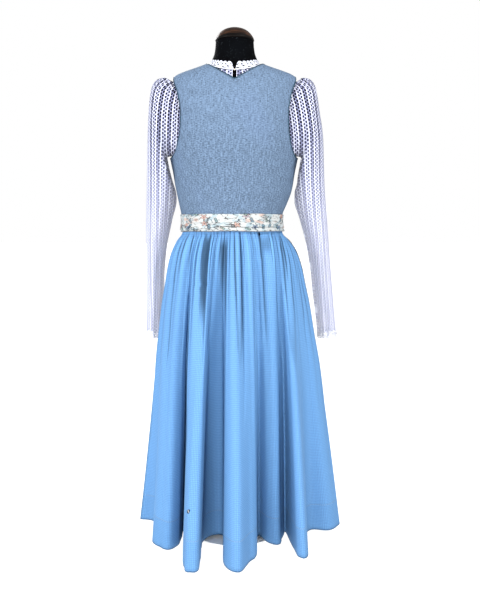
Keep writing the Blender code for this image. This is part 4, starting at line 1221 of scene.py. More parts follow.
def make_pipings_satin():
    lift = BODICE_LIFT + BODICE_CLOTH * 0.7
    out = PIPING_RADIUS + 0.2 * MM
    back_inner, back_outer = bodice_edges(1)
    front_inner, front_outer = bodice_edges(-1)
    back_neck = beside_edge(back_inner[BACK_NECK_ROW:], lift, out)
    front_neck = beside_edge(front_inner[FRONT_NECK_ROW:], lift, -out)
    centre = BODY_TABLE.at(BACK_POINT, "centre")
    back_neck[0].x = centre
    back_neck[0].z += 0.5 * MM
    front_neck[0].x = max(front_neck[0].x, centre + PIPING_RADIUS + 0.3 * MM)
    left = front_neck + list(reversed(back_neck))[1:]
    right = [Vector((2 * centre - point.x, point.y, point.z)) for point in reversed(left)]
    made = soft_tube("neck_piping_satin", left + right[1:], PIPING_RADIUS, "PipingSatin", False)
    settle(made, "PipingSatin", "neck_piping")
    back_arm = beside_edge(back_outer[BODICE_SIDE_ROWS:], lift, -out)
    front_arm = beside_edge(front_outer[BODICE_SIDE_ROWS:], lift, out)
    loop = back_arm + list(reversed(front_arm))[1:-1]
    for word, points in (("left", loop), ("right", [across_body(point) for point in loop])):
        made = soft_tube(f"armhole_piping_{word}_satin", points, PIPING_RADIUS, "PipingSatin", True)
        settle(made, "PipingSatin", f"armhole_piping_{word}")


def make_button(index):
    """A dished horn button, sewn on with a cross of thread."""
    low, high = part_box(f"bodice_button_{index}")
    seat = (low + high) / 2
    normal = body_normal(math.radians(BUTTON_ANGLE), seat.z)
    turned = normal.to_track_quat("Z", "Y").to_euler()
    bpy.ops.object.select_all(action="DESELECT")
    bpy.ops.mesh.primitive_cylinder_add(vertices=40, radius=BUTTON_RADIUS, depth=BUTTON_HEIGHT)
    made = bpy.context.active_object
    edit_top_face(made)
    bpy.ops.mesh.inset(thickness=0.0014, depth=0.0)
    bpy.ops.mesh.inset(thickness=0.0007, depth=-0.0008)
    bpy.ops.object.mode_set(mode="OBJECT")
    round_edges(made, 0.4 * MM, 3, 45.0, 35.0)
    made.location = seat
    made.rotation_euler = turned
    made = named(f"bodice_button_{index}_horn", "Horn")
    place = Matrix.Translation(seat) @ normal.to_track_quat("Z", "Y").to_matrix().to_4x4()
    settle(made, "Horn", f"bodice_button_{index}")
    for stitch, angle in enumerate((45.0, 135.0)):
        along = Vector((math.cos(math.radians(angle)), math.sin(math.radians(angle)), 0.0)) * 0.0016
        top = BUTTON_HEIGHT / 2 - 0.0003
        arch = 0.0004 * (1 + stitch)
        points = [place @ (along * share + Vector((0.0, 0.0, top + arch * (1 - share * share))))
                  for share in between(-1.0, 1.0, 8)]
        name = f"bodice_button_{index}_thread_{stitch + 1}"
        thread = soft_tube(name, points, THREAD_RADIUS, "SewingThread", False)
        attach(thread, "root")


# The blouse


def blouse_half(point, sign):
    inner = inner_edge(BLOUSE_BOTTOM, point, BLOUSE_NECK_POWER, sign, BLOUSE_NECK_ROW, BLOUSE_SIDE_ROWS,
                       BLOUSE_LIFT, NECK_SIDE)
    outer = outer_edge(BLOUSE_BOTTOM, sign, BLOUSE_SIDE_ROWS, BLOUSE_TUCK, BLOUSE_DROP)
    return half_panel(inner, outer, BLOUSE_LIFT, sign, BLOUSE_NECK_ROW)


def make_blouse_body():
    rows = ARM_ROWS + BLOUSE_SIDE_ROWS
    back = blouse_half(BLOUSE_BACK_POINT, 1)

    def slit(u, v):
        point, cloth = back(u, v)
        reach = max(0.0, u - 0.6) / 0.4
        open_share = clamped((point.z - BACK_SLIT_FOOT) / 0.006)
        point.x += (BACK_SLIT_BELOW + (BACK_SLIT_TOP - BACK_SLIT_BELOW) * open_share) * reach
        return point, cloth
    for word, place in (("left", slit), ("right", mirrored(slit))):
        made = cloth_piece(f"blouse_back_{word}_lace", [place], 30, rows, 0.0, "BodyLace")
        settle(made, "Lace", f"blouse_back_{word}")
    front = blouse_half(BLOUSE_FRONT_POINT, -1)
    made = cloth_piece("blouse_front_lace", [front, mirrored(front)], 30, rows, 0.0, "BodyLace", True)
    settle(made, "Lace", "blouse_front")


def collar_place(u, v):
    """The standing collar, from one side of the back opening round the front to the other."""
    gap = 1.3 + 4.2 * v
    around = 90.0 + gap + (360.0 - 2 * gap) * u
    share = abs(math.cos(math.radians(around)))
    back = math.sin(math.radians(around)) >= 0
    foot = BLOUSE_BACK_POINT if back else BLOUSE_FRONT_POINT
    rim = COLLAR_BACK_TOP if back else COLLAR_FRONT_TOP
    low = foot + (NECK_SIDE - foot) * share ** BLOUSE_NECK_POWER + 1.0 * MM
    high = rim + (COLLAR_SIDE_TOP - rim) * share ** BLOUSE_NECK_POWER
    scallop = COLLAR_SCALLOP * (abs(math.sin(math.pi * COLLAR_SCALLOPS * u)) * 2 - 1.2) * max(0.0, 4 * v - 3)
    first = angle_for(share, low, NECK_SIDE)
    start = first if math.cos(math.radians(around)) >= 0 else 180.0 - first
    if not back:
        start = 360.0 - start
    wanted = around if around < 360.0 else around - 360.0
    if abs(start - wanted) > 180.0:
        start += 360.0 if wanted > start else -360.0
    wave = 0.5 * MM * math.sin(math.pi * COLLAR_SCALLOPS / 2 * u) * v
    point = skin(start + (wanted - start) * v, low + (high - low) * v + scallop, COLLAR_LIFT + wave)
    return point, (u * COLLAR_LACE_LENGTH, v * COLLAR_LACE_HEIGHT)


def make_collar_lace():
    made = cloth_piece("collar_lace", [collar_place], COLLAR_SCALLOPS * 8, 12, 0.0, "CollarLace")
    settle(made, "Lace", "collar")
    low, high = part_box("neck_button")
    bpy.ops.object.select_all(action="DESELECT")
    bpy.ops.mesh.primitive_uv_sphere_add(segments=28, ring_count=16, radius=NECK_BUTTON_RADIUS,
                                         location=(low + high) / 2, scale=(1.0, 0.85, 1.0))
    bpy.ops.object.shade_smooth()
    settle(named("neck_button_horn", "Horn"), "Horn", "neck_button")


def swing(height):
    """How much further out the right sleeve hangs than the left one."""
    low = clamped((0.95 - height) / 0.42)
    full = clamped((1.10 - height) / 0.08)
    return RIGHT_SWING * low ** 1.5 + (RIGHT_FULLNESS + 0.003) * full - 0.003


def sleeve_ring(row, degrees, side):
    """A point of one sleeve section; 0 degrees is its outer line and 90 its back."""
    angle = math.radians(degrees)
    outer = Vector((row.outer_x, row.middle_y, row.outer_z))
    inner = Vector((row.inner_x, row.middle_y, row.inner_z))
    if side < 0:
        outer.x += swing(row.outer_z)
        inner.x += swing(row.outer_z) * 0.7
    middle = (outer + inner) / 2
    point = middle + (outer - middle) * math.cos(angle)
    point.y += row.half_depth * math.sin(angle)
    point.x *= side
    return point


def armhole_ring(degrees, extra, drop, lift, side):
    """A point of the sleeve's seam; 0 degrees is the shoulder tip and 90 the back."""
    wrapped = degrees % 360.0
    sign = 1 if wrapped <= 180.0 else -1
    share = (180.0 - wrapped if sign > 0 else wrapped - 180.0) / 180.0 * ARM_ROWS
    row = min(int(share), ARM_ROWS - 1)
    turn = ARM_TURNS[row] + (ARM_TURNS[row + 1] - ARM_TURNS[row]) * (share - row)
    point = skin(*armhole_point(turn, sign, extra, drop), lift)
    return across_body(point) if side < 0 else point


ArmRow = namedtuple("ArmRow", "below outer_x inner_x middle_y half_depth")
ARM_TOP = 1.150
SLEEVE_TABLE = SmoothTable([
    ArmRow(-1.160, 0.1800, 0.1000, 0.000, 0.050), ArmRow(-1.120, 0.2050, 0.1000, -0.004, 0.066),
    ArmRow(-1.050, 0.2110, 0.1000, -0.012, 0.072), ArmRow(-0.960, 0.2160, 0.1150, -0.026, 0.070),
    ArmRow(-0.860, 0.2210, 0.1400, -0.044, 0.066), ArmRow(-0.755, 0.2265, 0.1740, -0.070, 0.058),
    ArmRow(-0.600, 0.2325, 0.1890, -0.110, 0.050), ArmRow(-0.500, 0.2355, 0.1945, -0.128, 0.044),
], "below")

SleeveFold = namedtuple("SleeveFold", "degrees wander width depth start")
SLEEVE_FOLDS = {
    1: [SleeveFold(60.0, 6.0, 15.0, -4.5 * MM, 5.0), SleeveFold(84.0, 5.0, 18.0, 2.0 * MM, 4.0),
        SleeveFold(118.0, 8.0, 16.0, -2.4 * MM, 5.5), SleeveFold(35.0, 4.0, 14.0, 1.6 * MM, 6.0),
        SleeveFold(-70.0, 8.0, 18.0, -3.0 * MM, 5.0)],
    -1: [SleeveFold(96.0, 6.0, 16.0, -3.2 * MM, 5.0), SleeveFold(64.0, 5.0, 16.0, 2.0 * MM, 4.5),
         SleeveFold(128.0, 6.0, 14.0, -2.0 * MM, 6.0), SleeveFold(-75.0, 8.0, 18.0, -3.0 * MM, 5.0)],
}


def sleeve_point(degrees, step, side):
    """A point of the sleeve; step runs from 0 at the seam through its sections to the wrist."""
    last = len(SLEEVE) + 1

    def ring(index):
        index = min(max(index, 0), last)
        if index == 0:
            return armhole_ring(degrees, SLEEVE_SEAM_TUCK, SLEEVE_SEAM_DROP, BLOUSE_LIFT, side)
        if index == 1:
            return armhole_ring(degrees, SLEEVE_TURN_TUCK, SLEEVE_TURN_DROP, BLOUSE_LIFT, side)
        return sleeve_ring(SLEEVE[index - 2], degrees, side)
    index = min(int(step), last - 1)
    return through(ring(index - 1), ring(index), ring(index + 1), ring(index + 2), step - index)


def sleeve_relief(degrees, step, side):
    """The gathers of the sleeve head and the long folds of the hanging arm."""
    head = max(0.0, 1.0 - (step - 2.0) / 6.5) * min(1.0, step / 1.5)
    around = (degrees + 180.0) % 360.0 - 180.0
    upper = max(0.0, 1 - abs(around) / 75.0)
    wander = 0.5 * rough(step * 0.5, degrees * 0.02, side * 3.0)
    lift = HEAD_GATHER * head * upper * math.cos(math.radians(degrees) * HEAD_GATHERS + wander * 2.0)
    for fold in SLEEVE_FOLDS[side]:
        middle = fold.degrees + fold.wander * math.sin(step * 0.9 + fold.degrees)
        share = clamped((step - fold.start) / 3.0)
        lift += fold.depth * share * bump_at(around, middle, fold.width)
    return lift + 1.0 * MM * rough(degrees * 0.05, step * 1.3, 5.0 + side) * min(1.0, step / 3.0)


def hanging_cloth(point, side):
    """The lace's columns hang straight down: across is the length round the arm from its outer line."""
    row = SLEEVE_TABLE
    height = min(point.z, ARM_TOP)
    shift = side * (swing(height) * 0.85 if side < 0 else 0.0)
    wide = (row.at(-height, "outer_x") - row.at(-height, "inner_x")) / 2
    deep = row.at(-height, "half_depth")
    middle_x = side * (row.at(-height, "outer_x") + row.at(-height, "inner_x")) / 2 + shift
    x = min(1.0, max(-1.0, side * (point.x - middle_x) / wide))
    arc = math.acos(x) * (wide + deep) / 2
    return (arc if point.y > row.at(-height, "middle_y") else -arc, point.z)


def sleeve_surface(degrees, step, side):
    """A point of the sleeve with its gathers and folds."""
    point = sleeve_point(degrees, step, side)
    middle = (sleeve_point(0.0, step, side) + sleeve_point(180.0, step, side)) / 2
    return point + (point - middle).normalized() * sleeve_relief(degrees % 360.0, step, side)


def make_sleeve(side, word):
    last = len(SLEEVE) + 1

    def place(u, v):
        row = SLEEVE_ROWS - round(v * SLEEVE_ROWS)
        point = sleeve_surface(-360.0 * side * u, last * row / SLEEVE_ROWS, side)
        return point, hanging_cloth(point, side)
    made = cloth_piece(f"sleeve_{word}_lace", [place], SLEEVE_COLUMNS, SLEEVE_ROWS, 0.0, "SleeveLace")
    settle(made, "Lace", f"sleeve_{word}")

    def cuff(u, v):
        degrees = -360.0 * side * u
        point = sleeve_surface(degrees, last, side)
        arch = 2.0 * MM * math.cos(math.radians(degrees) * 2)
        scallop = 1.6 * MM * abs(math.sin(math.radians(degrees) * 9)) * max(0.0, 1 - 3 * v)
        point.z -= SEAM_GAP + (CUFF_HEIGHT + arch) * (1 - v) - scallop
        return point, (hanging_cloth(point, side)[0], v * COLLAR_LACE_HEIGHT)
    made = cloth_piece(f"cuff_{word}_lace", [cuff], 144, 10, 0.0, "CollarLace")
    settle(made, "Lace", f"cuff_{word}")


# The skirt


Pucker = namedtuple("Pucker", "x height width length depth")
SKIRT_PUCKERS = [
    Pucker(0.078, 0.668, 0.026, 0.006, -3.0 * MM),
    Pucker(0.082, 0.656, 0.020, 0.005, 2.0 * MM),
    Pucker(-0.062, 0.610, 0.018, 0.006, -2.6 * MM),
    Pucker(-0.052, 0.738, 0.020, 0.005, -1.6 * MM),
    Pucker(-0.066, 0.722, 0.020, 0.005, 1.6 * MM),
]


def skirt_gathers(share, height):
    """The lift of the gathers below the waist, each with its own depth and reach, and the painted shade of
    their creases.
    """
    t = max(0.0, fall(height))
    wander = 1.5 * rough(share * 13.0, t * 1.2, 1.0)
    turn = 2 * math.pi * SKIRT_GATHERS * share + wander
    uneven = 0.8 + 1.3 * rough(share * 31.0, 0.4, t * 0.8)
    reach = 0.30 + 0.35 * (0.5 + rough(share * 27.0, 5.0, 0.0))
    fade = max(0.0, 1 - t / max(0.08, reach)) ** 0.6
    ridge = 2.0 * abs(math.cos(turn / 2)) ** 0.45 - 1.75 + 0.15 * min(1.0, t / 0.4)
    main = (2.0 * MM + 4.8 * MM * min(1.0, t / 0.08)) * max(0.15, uneven) * fade * ridge
    start = min(1.0, t / 0.06)
    small = math.cos(turn * 2.5 + 1.0 + rough(share * 23.0, 2.0, 0.0) * 3)
    fine = 1.5 * MM * small * max(0.0, 1 - t / 0.25)
    fold_line = abs(rough(share * 40.0, t * 0.5, 7.0))
    ridges = 2 * min(1.0, fold_line * 2.2) ** 0.5 - 1.7 + 0.55 * min(1.0, max(0.0, t - 0.12) / 0.25)
    long_fold = 5.0 * MM * start * ridges * (1 - 0.5 * t)
    drape = 3.0 * MM * start * rough(share * 34.0, t * 2.0, 11.0)
    # The painted shade in the creases of the gathers and of the small and long folds, and below 0 a painted
    # highlight on the ridges.
    away = abs(math.cos(turn / 2))
    patchy = clamped(0.75 + 1.6 * rough(share * 19.0, t * 3.0, 21.0))
    near = min(1.0, t / 0.03)
    crease = max((1 - away) ** 5 * min(1.0, max(0.3, uneven) * fade * 1.8) * max(0.0, 1 - t / 0.65),
                 max(0.0, -small) ** 4 * min(1.0, max(0.0, 1.4 - t / 0.16)) * (0.55 + 0.45 * patchy),
                 (1 - min(1.0, fold_line * 9.0)) * start * max(0.0, 1 - 1.8 * t) * patchy)
    crest = max(away ** 8 * fade ** 1.6, max(0.0, small) ** 3 * max(0.0, 1 - t / 0.3))
    return main + fine + long_fold + drape, near * (crease if crease > 0.12 else -0.8 * crest)


def make_skirt_cloth():
    line, length = hem_line(SKIRT_COLUMNS)

    def place(u, v):
        column = round(u * SKIRT_COLUMNS) % SKIRT_COLUMNS
        height = WAIST_SEAM - (WAIST_SEAM - HEM) * (1 - v) ** 1.25
        turn = line[column]
        point = outer_fall(turn.waist, turn.ring, height)
        depth = max(0.0, fall(height)) ** FOLD_POWER
        end = ring_point(turn.ring)
        point.x += (turn.x - end.x) * depth
        point.y += (turn.y - end.y) * depth
        lift, crease = skirt_gathers(column / SKIRT_COLUMNS, height)
        if point.y > 0:
            for pucker in SKIRT_PUCKERS:
                lift += (pucker.depth * bump_at(point.x, pucker.x, pucker.width)
                         * bump_at(height, pucker.height, pucker.length * 1.8))
        return point + outward(turn.waist) * lift, (u * length, height - HEM, crease)
    made = cloth_piece("skirt_cloth", [place], SKIRT_COLUMNS, SKIRT_ROWS, SKIRT_CLOTH, "SkirtCotton")
    cut_tear(made)
    settle(made, "SkirtCotton", "skirt")


def cut_tear(skirt):
    """A small lengthwise tear right through one back fold."""
    bpy.ops.object.select_all(action="DESELECT")
    bpy.ops.mesh.primitive_cylinder_add(vertices=12, radius=0.5, depth=0.060, location=TEAR)
    cutter = bpy.context.active_object
    cutter.scale = (TEAR_WIDTH * 0.45, TEAR_LENGTH * 0.85, 1.0)
    cutter.rotation_euler = (math.radians(90.0), math.radians(24.0), 0.0)
    bpy.context.view_layer.update()
    cut = skirt.modifiers.new("Tear", "BOOLEAN")
    cut.object = cutter
    cut.operation = "DIFFERENCE"
    apply_modifiers(skirt)
    bpy.data.objects.remove(cutter)


# The apron, its sash and the bow


Knee = namedtuple("Knee", "degrees share")
Ledge = namedtuple("Ledge", "depth width knees")
SASH_LEDGES = [
    Ledge(2.3 * MM, 0.30, [Knee(0.0, 0.10), Knee(25.0, 0.08), Knee(60.0, 0.20), Knee(88.0, 0.31),
                           Knee(110.0, 0.24), Knee(140.0, 0.27), Knee(175.0, 0.20), Knee(250.0, 0.30),
                           Knee(360.0, 0.10)]),
    Ledge(1.3 * MM, 0.16, [Knee(30.0, 0.50), Knee(48.0, 0.54), Knee(66.0, 0.50), Knee(90.0, 0.52)]),
    Ledge(1.1 * MM, 0.14, [Knee(95.0, 0.62), Knee(115.0, 0.56), Knee(135.0, 0.62), Knee(168.0, 0.52)]),
    Ledge(1.0 * MM, 0.14, [Knee(8.0, 0.66), Knee(40.0, 0.74), Knee(70.0, 0.82)]),
    Ledge(1.4 * MM, 0.20, [Knee(190.0, 0.60), Knee(240.0, 0.56), Knee(300.0, 0.64), Knee(345.0, 0.56)]),
]
SASH_OVERLAP = 92.5


def ledge_lift(ledge, degrees, v):
    """How far the cloth above a ledge stands out, and the cloth below is drawn in."""
    first, last = ledge.knees[0], ledge.knees[-1]
    if not first.degrees <= degrees <= last.degrees:
        return 0.0
    middle = SmoothTable(ledge.knees, "degrees").at(degrees, "share")
    whole = last.degrees - first.degrees > 359.0
    ends = 1.0 if whole else min(1.0, (degrees - first.degrees) / 10.0, (last.degrees - degrees) / 10.0)
    away = (v - middle) / ledge.width
    if away >= 0:
        return ledge.depth * ends * 0.45 * max(0.0, 1 - away)
    return -ledge.depth * ends * max(0.0, 1 + away * 1.4) ** 1.5


def sash_place(u, v):
    """The sash, drawn round the waist in long shallow folds, one end lapped over the other behind."""
    degrees = 360.0 * u
    around = outward(degrees) * 9.0
    height = SASH_BOTTOM + (SASH_TOP - SASH_BOTTOM) * v
    edge = 0.8 * MM * math.sin(math.radians(degrees * 3 + 20.0))
    edge += 0.5 * MM * math.sin(math.radians(degrees * 7))
    height += edge * (1 if v > 0.5 else -1) * abs(2 * v - 1) ** 2 * 0.7
    lift = 0.7 * MM * math.sin(math.pi * v) ** 0.5
    for ledge in SASH_LEDGES:
        lift += ledge_lift(ledge, degrees, v)
    lapped = degrees - SASH_OVERLAP - 1.6 * (v - 0.5)
    if v > 0.30 and 0 <= lapped < 9.0:
        lift -= 1.2 * MM * (1 - lapped / 9.0)
    lift += 0.4 * MM * rough(around.x, around.y, v * 5.0)
    return skin(degrees, height, SASH_LIFT - SASH_LEAN * v + lift), (u * SASH_LENGTH, v * 0.060)


def make_sash_print():
    made = cloth_piece("apron_sash_print", [sash_place], 360, 48, SASH_CLOTH, "PrintCotton")
    settle(made, "PrintCotton", "apron_sash")


def make_apron_print():
    def place(u, v):
        height = APRON_HEM + (SASH_BOTTOM - SEAM_GAP - APRON_HEM) * v
        degrees = APRON_START + (APRON_END - APRON_START) * u
        point = outer_fall(degrees, degrees, height)
        t = fall(height)
        off = APRON_LIFT - SKIRT_LIFT + 5.0 * MM * min(1.0, t / 0.05) + 5.0 * MM * t
        turn = 2 * math.pi * APRON_FLUTES * u + 0.5 * rough(u * 7.0, t * 2.0, 2.0)
        flute = (1.2 * MM + 6.5 * MM * t) * math.cos(turn)
        fine = 0.8 * MM * math.cos(turn * 4 + 1.0) * max(0.0, 1 - t / 0.3) * min(1.0, t / 0.03)
        soft = 1.8 * MM * min(1.0, t / 0.1) * rough(u * 30.0, t * 1.6, 4.0)
        return point + outward(degrees) * (off + flute + fine + soft), (u * APRON_CLOTH_WIDTH, height)
    made = cloth_piece("apron_panel_print", [place], APRON_FLUTES * 20, 70, APRON_CLOTH, "PrintCotton")
    settle(made, "PrintCotton", "apron_panel")


def bow_frame():
    """The middle of the bow on the sash, with its outward and sideways directions."""
    height = (SASH_BOTTOM + SASH_TOP) / 2
    seat = skin(BOW_ANGLE, height, BOW_LIFT)
    out = body_normal(math.radians(BOW_ANGLE), height)
    return seat, out, out.cross(Vector((0.0, 0.0, 1.0))).normalized()


def make_bow_knot():
    seat, out, aside = bow_frame()

    def place(u, v):
        turn = 2 * math.pi * u
        rise = math.pi * (v - 0.5)
        pleat = 1.0 + 0.07 * math.cos(turn * 7 + 2.0 * math.sin(rise * 2)) * math.cos(rise)
        across = KNOT_RADIUS * math.cos(rise) * math.cos(turn) * pleat
        deep = KNOT_RADIUS * math.cos(rise) * math.sin(turn) * 0.75 * pleat
        up = KNOT_RADIUS * math.sin(rise) * 1.45
        point = seat + aside * across + out * (deep + KNOT_OUT) + Vector((0.0, 0.0, up))
        return point, (u * 0.07, v * 0.05)
    made = cloth_piece("bow_knot_print", [place], 56, 28, 0.0, "PrintCotton", True)
    return settle(made, "PrintCotton", "bow_knot")


def make_bow_loop(side, word):
    seat, out, aside = bow_frame()

    def place(u, v):
        angle = 2 * math.pi * u
        away = (1 - math.cos(angle)) / 2
        across = side * (LOOP_START + LOOP_LENGTH * away)
        pinch = 0.35 + 0.65 * math.sin(math.pi * min(1.0, away + 0.08)) ** 0.5
        pleat = 1.1 * MM * math.cos(v * 22.0 + side) * max(0.0, 1 - away * 1.6)
        deep = LOOP_OUT - (0.0075 + 1.2 * MM * math.sin(v * 7.0)) * math.sin(angle) * side
        up = (v - 0.5) * LOOP_HEIGHT * pinch - 0.004 * away + 0.003
        curve_back = -2.2 * across * across
        point = seat + aside * across + out * (deep + curve_back + pleat) + Vector((0.0, 0.0, up))
        return point, (u * 0.17, v * 0.046)
    made = cloth_piece(f"bow_loop_{word}_print", [place], 96, 24, SASH_CLOTH, "PrintCotton")
    settle(made, "PrintCotton", f"bow_loop_{word}")


def make_bow_tail(side, word):
    seat = bow_frame()[0]

    def place(u, v):
        t = 1 - v
        width = TAIL_WIDTH * (0.4 + 0.6 * min(1.0, t * 3))
        across = -side * (0.0076 + 0.034 * t ** 0.7) + (u - 0.5) * width
        slant = 0.012 * (u - 0.5) * side * max(0.0, t * 6 - 5)
        level = seat.z - TAIL_DROP - (TAIL_LENGTH + 0.02 * side) * t + slant
        degrees = BOW_ANGLE + math.degrees(across / 0.12) * (1 - 0.25 * t)
        base = outer_fall(degrees, degrees, min(level, SASH_BOTTOM))
        near = 6.0 * MM * max(0.0, 1 - 5 * t)
        wave = 1.5 * MM * math.cos(2 * math.pi * u) + 0.7 * MM * math.cos(14.0 * u + 5.0 * t)
        off = TAIL_OUT - near + 9.5 * MM * fall(level) + wave * min(1.0, 4 * t)
        return Vector((base.x, base.y, level)) + outward(degrees) * off, (u * 0.046, t * 0.25)
    made = cloth_piece(f"bow_tail_{word}_print", [place], 24, 90, SASH_CLOTH, "PrintCotton")
    settle(made, "PrintCotton", f"bow_tail_{word}")


# The stage


CAMERA_PLACE = (-0.01375, 1.8, 0.8059)
CAMERA_PITCH = 5.95
LENS = 43.43
SENSOR = 36.0
FLOOR_SIZE = 60.0
FLOOR_DROP = 0.6 * MM
Lamp = namedtuple("Lamp", "name place aim_height size share tint")
LAMPS = [
    Lamp("key", (-1.9, 1.9, 2.6), 0.7, 0.8, 1.0, (1.0, 0.99, 0.97)),
    Lamp("side", (2.3, 1.9, 1.5), 0.7, 0.8, 0.85, (1.0, 1.0, 1.0)),
    Lamp("low_fill", (0.2, 2.8, 0.45), 0.25, 1.0, 0.60, (1.0, 1.0, 1.0)),
    Lamp("front_fill", (1.2, -2.2, 2.0), 0.7, 1.4, 0.7, (0.98, 0.99, 1.0)),
]


def make_floor():
    bpy.ops.object.select_all(action="DESELECT")
    bpy.ops.mesh.primitive_plane_add(size=FLOOR_SIZE, location=(0.0, 0.0, -FLOOR_DROP))
    floor = bpy.context.active_object
    floor.name = "floor"
    shader = Shader("PaleFloor")
    grain = shader.noise(shader.space(), 30.0, 2.0).rise(0.3, 0.7)
    shader.set("Base Color", shader.mix(grain, (0.25, 0.25, 0.25, 1.0), (0.27, 0.27, 0.27, 1.0)))
    shader.set("Roughness", 0.9)
    shader.set("Emission Color", (1.0, 1.0, 1.0, 1.0))
    shader.set("Emission Strength", 1.0)
    floor.data.materials.append(shader.material)


def make_light(lamp, power):
    data = bpy.data.lights.new(lamp.name, "AREA")
    data.shape = "DISK"
    data.size = lamp.size
    data.energy = power * lamp.share
    data.color = lamp.tint
    made = bpy.data.objects.new(lamp.name, data)
    made.location = lamp.place
    aim = Vector((0.0, 0.0, lamp.aim_height)) - Vector(lamp.place)
    made.rotation_euler = aim.to_track_quat("-Z", "Y").to_euler()
    bpy.context.scene.collection.objects.link(made)


def make_sky():
    world = bpy.data.worlds.new("SoftRoom")
    world.use_nodes = True
    background = world.node_tree.nodes["Background"]
    background.inputs["Color"].default_value = (1.0, 1.0, 1.0, 1.0)
    background.inputs["Strength"].default_value = settings().room_light
    bpy.context.scene.world = world


def make_camera():
    data = bpy.data.cameras.new("camera")
    data.sensor_fit = "VERTICAL"
    data.sensor_height = SENSOR
    data.lens = LENS
    camera = bpy.data.objects.new("camera", data)
    camera.location = CAMERA_PLACE
    camera.rotation_euler = (math.radians(90.0 - CAMERA_PITCH), 0.0, math.radians(180.0))
    bpy.context.scene.collection.objects.link(camera)
    bpy.context.scene.camera = camera


# The add-on


class DirndlSettings(bpy.types.PropertyGroup):
    """Colours and light that a user would change"""
    chambray_colour: bpy.props.FloatVectorProperty(
        name="Bodice", description="Mean colour of the bodice's chambray", subtype="COLOR", size=4,
        min=0.0, max=1.0, default=(0.0755, 0.1130, 0.1720, 1.0))
    skirt_colour: bpy.props.FloatVectorProperty(
        name="Skirt", description="Ground colour of the skirt's cotton", subtype="COLOR", size=4,
        min=0.0, max=1.0, default=(0.0670, 0.1680, 0.3300, 1.0))
    lace_colour: bpy.props.FloatVectorProperty(
        name="Lace", description="Colour of the lace's thread", subtype="COLOR", size=4,
        min=0.0, max=1.0, default=(0.46, 0.475, 0.55, 1.0))
    print_ground: bpy.props.FloatVectorProperty(
        name="Print ground", description="Ground colour of the apron's print", subtype="COLOR", size=4,
        min=0.0, max=1.0, default=(0.298, 0.312, 0.312, 1.0))
    piping_colour: bpy.props.FloatVectorProperty(
        name="Piping", description="Colour of the satin piping", subtype="COLOR", size=4,
        min=0.0, max=1.0, default=(0.008, 0.022, 0.036, 1.0))
    # The strength of the lace's painted glow: its threads give off light, standing in for light passing
    # through them.
    lace_glow: bpy.props.FloatProperty(
        name="Lace glow", description="Light that the thin white threads pass on", min=0.0, default=0.10)
    room_light: bpy.props.FloatProperty(
        name="Room light", description="Strength of the even light from all sides", min=0.0, default=1.0)
    key_power: bpy.props.FloatProperty(
        name="Key light", description="Power of the large soft light", subtype="POWER", unit="POWER",
        min=0.0, default=113.0)


class DIRNDL_OT_form(bpy.types.Operator):
    """Cover the torso, turn its cap and finish the stand"""
    bl_idname = "dirndl.form"
    bl_label = "Dress Form"

    def execute(self, context):
        make_torso()
        make_cap()
        make_stand()
        return {"FINISHED"}


class DIRNDL_OT_blouse(bpy.types.Operator):
    """Make the lace blouse with its collar, sleeves and cuffs"""
    bl_idname = "dirndl.blouse"
    bl_label = "Lace Blouse"

    def execute(self, context):
        make_blouse_body()
        make_collar_lace()
        make_sleeve(1, "left")
        make_sleeve(-1, "right")
        return {"FINISHED"}


class DIRNDL_OT_bodice(bpy.types.Operator):
    """Make the bodice's back and fronts"""
    bl_idname = "dirndl.bodice"
    bl_label = "Bodice"

    def execute(self, context):
        make_bodice_cloth()
        return {"FINISHED"}


class DIRNDL_OT_piping(bpy.types.Operator):
    """Bind the neckline and the armholes with piping"""
    bl_idname = "dirndl.piping"
    bl_label = "Piping"

    def execute(self, context):
        make_pipings_satin()
        return {"FINISHED"}


class DIRNDL_OT_buttons(bpy.types.Operator):
    """Sew on the front's buttons"""
    bl_idname = "dirndl.buttons"
    bl_label = "Buttons"

    def execute(self, context):
        for index in range(1, 6):
            make_button(index)
        return {"FINISHED"}


class DIRNDL_OT_skirt(bpy.types.Operator):
    """Make the gathered skirt"""
    bl_idname = "dirndl.skirt"
    bl_label = "Skirt"

    def execute(self, context):
        make_skirt_cloth()
        return {"FINISHED"}


class DIRNDL_OT_apron(bpy.types.Operator):
    """Make the apron's panel and its sash"""
    bl_idname = "dirndl.apron"
    bl_label = "Apron and Sash"

    def execute(self, context):
        make_sash_print()
        make_apron_print()
        return {"FINISHED"}


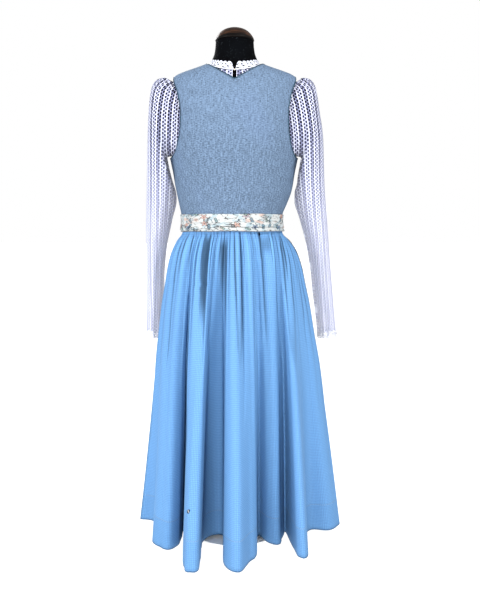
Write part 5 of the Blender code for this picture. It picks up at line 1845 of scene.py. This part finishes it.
class DIRNDL_OT_bow(bpy.types.Operator):
    """Tie the bow of the sash"""
    bl_idname = "dirndl.bow"
    bl_label = "Bow"

    def execute(self, context):
        make_bow_knot()
        for side, word in ((1, "right"), (-1, "left")):
            make_bow_loop(side, word)
            make_bow_tail(side, word)
        return {"FINISHED"}


class DIRNDL_OT_stage(bpy.types.Operator):
    """Lay the floor and set the light and the camera"""
    bl_idname = "dirndl.stage"
    bl_label = "Stage"

    def execute(self, context):
        make_floor()
        make_sky()
        power = settings().key_power
        for lamp in LAMPS:
            make_light(lamp, power)
        make_camera()
        context.scene.view_settings.view_transform = "Standard"
        return {"FINISHED"}


class DIRNDL_PT_sidebar(bpy.types.Panel):
    """Lists the pieces and their colours"""
    bl_idname = "DIRNDL_PT_sidebar"
    bl_label = "Dirndl"
    bl_space_type = "VIEW_3D"
    bl_region_type = "UI"
    bl_category = "Dirndl"

    def draw(self, context):
        layout = self.layout
        for name in DirndlSettings.__annotations__:
            layout.prop(context.scene.dirndl, name)
        for operator in OPERATORS:
            layout.operator(operator.bl_idname)


OPERATORS = [DIRNDL_OT_form, DIRNDL_OT_blouse, DIRNDL_OT_bodice, DIRNDL_OT_piping, DIRNDL_OT_buttons,
             DIRNDL_OT_apron, DIRNDL_OT_skirt, DIRNDL_OT_bow, DIRNDL_OT_stage]


def register():
    for item in [DirndlSettings, *OPERATORS, DIRNDL_PT_sidebar]:
        bpy.utils.register_class(item)
    bpy.types.Scene.dirndl = bpy.props.PointerProperty(type=DirndlSettings)


def unregister():
    del bpy.types.Scene.dirndl
    for item in reversed([DirndlSettings, *OPERATORS, DIRNDL_PT_sidebar]):
        bpy.utils.unregister_class(item)


def main():
    register()
    bpy.ops.dirndl.form()
    bpy.ops.dirndl.blouse()
    bpy.ops.dirndl.bodice()
    bpy.ops.dirndl.piping()
    bpy.ops.dirndl.buttons()
    bpy.ops.dirndl.apron()
    bpy.ops.dirndl.skirt()
    bpy.ops.dirndl.bow()
    bpy.ops.dirndl.stage()
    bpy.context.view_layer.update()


if __name__ == "__main__":
    main()
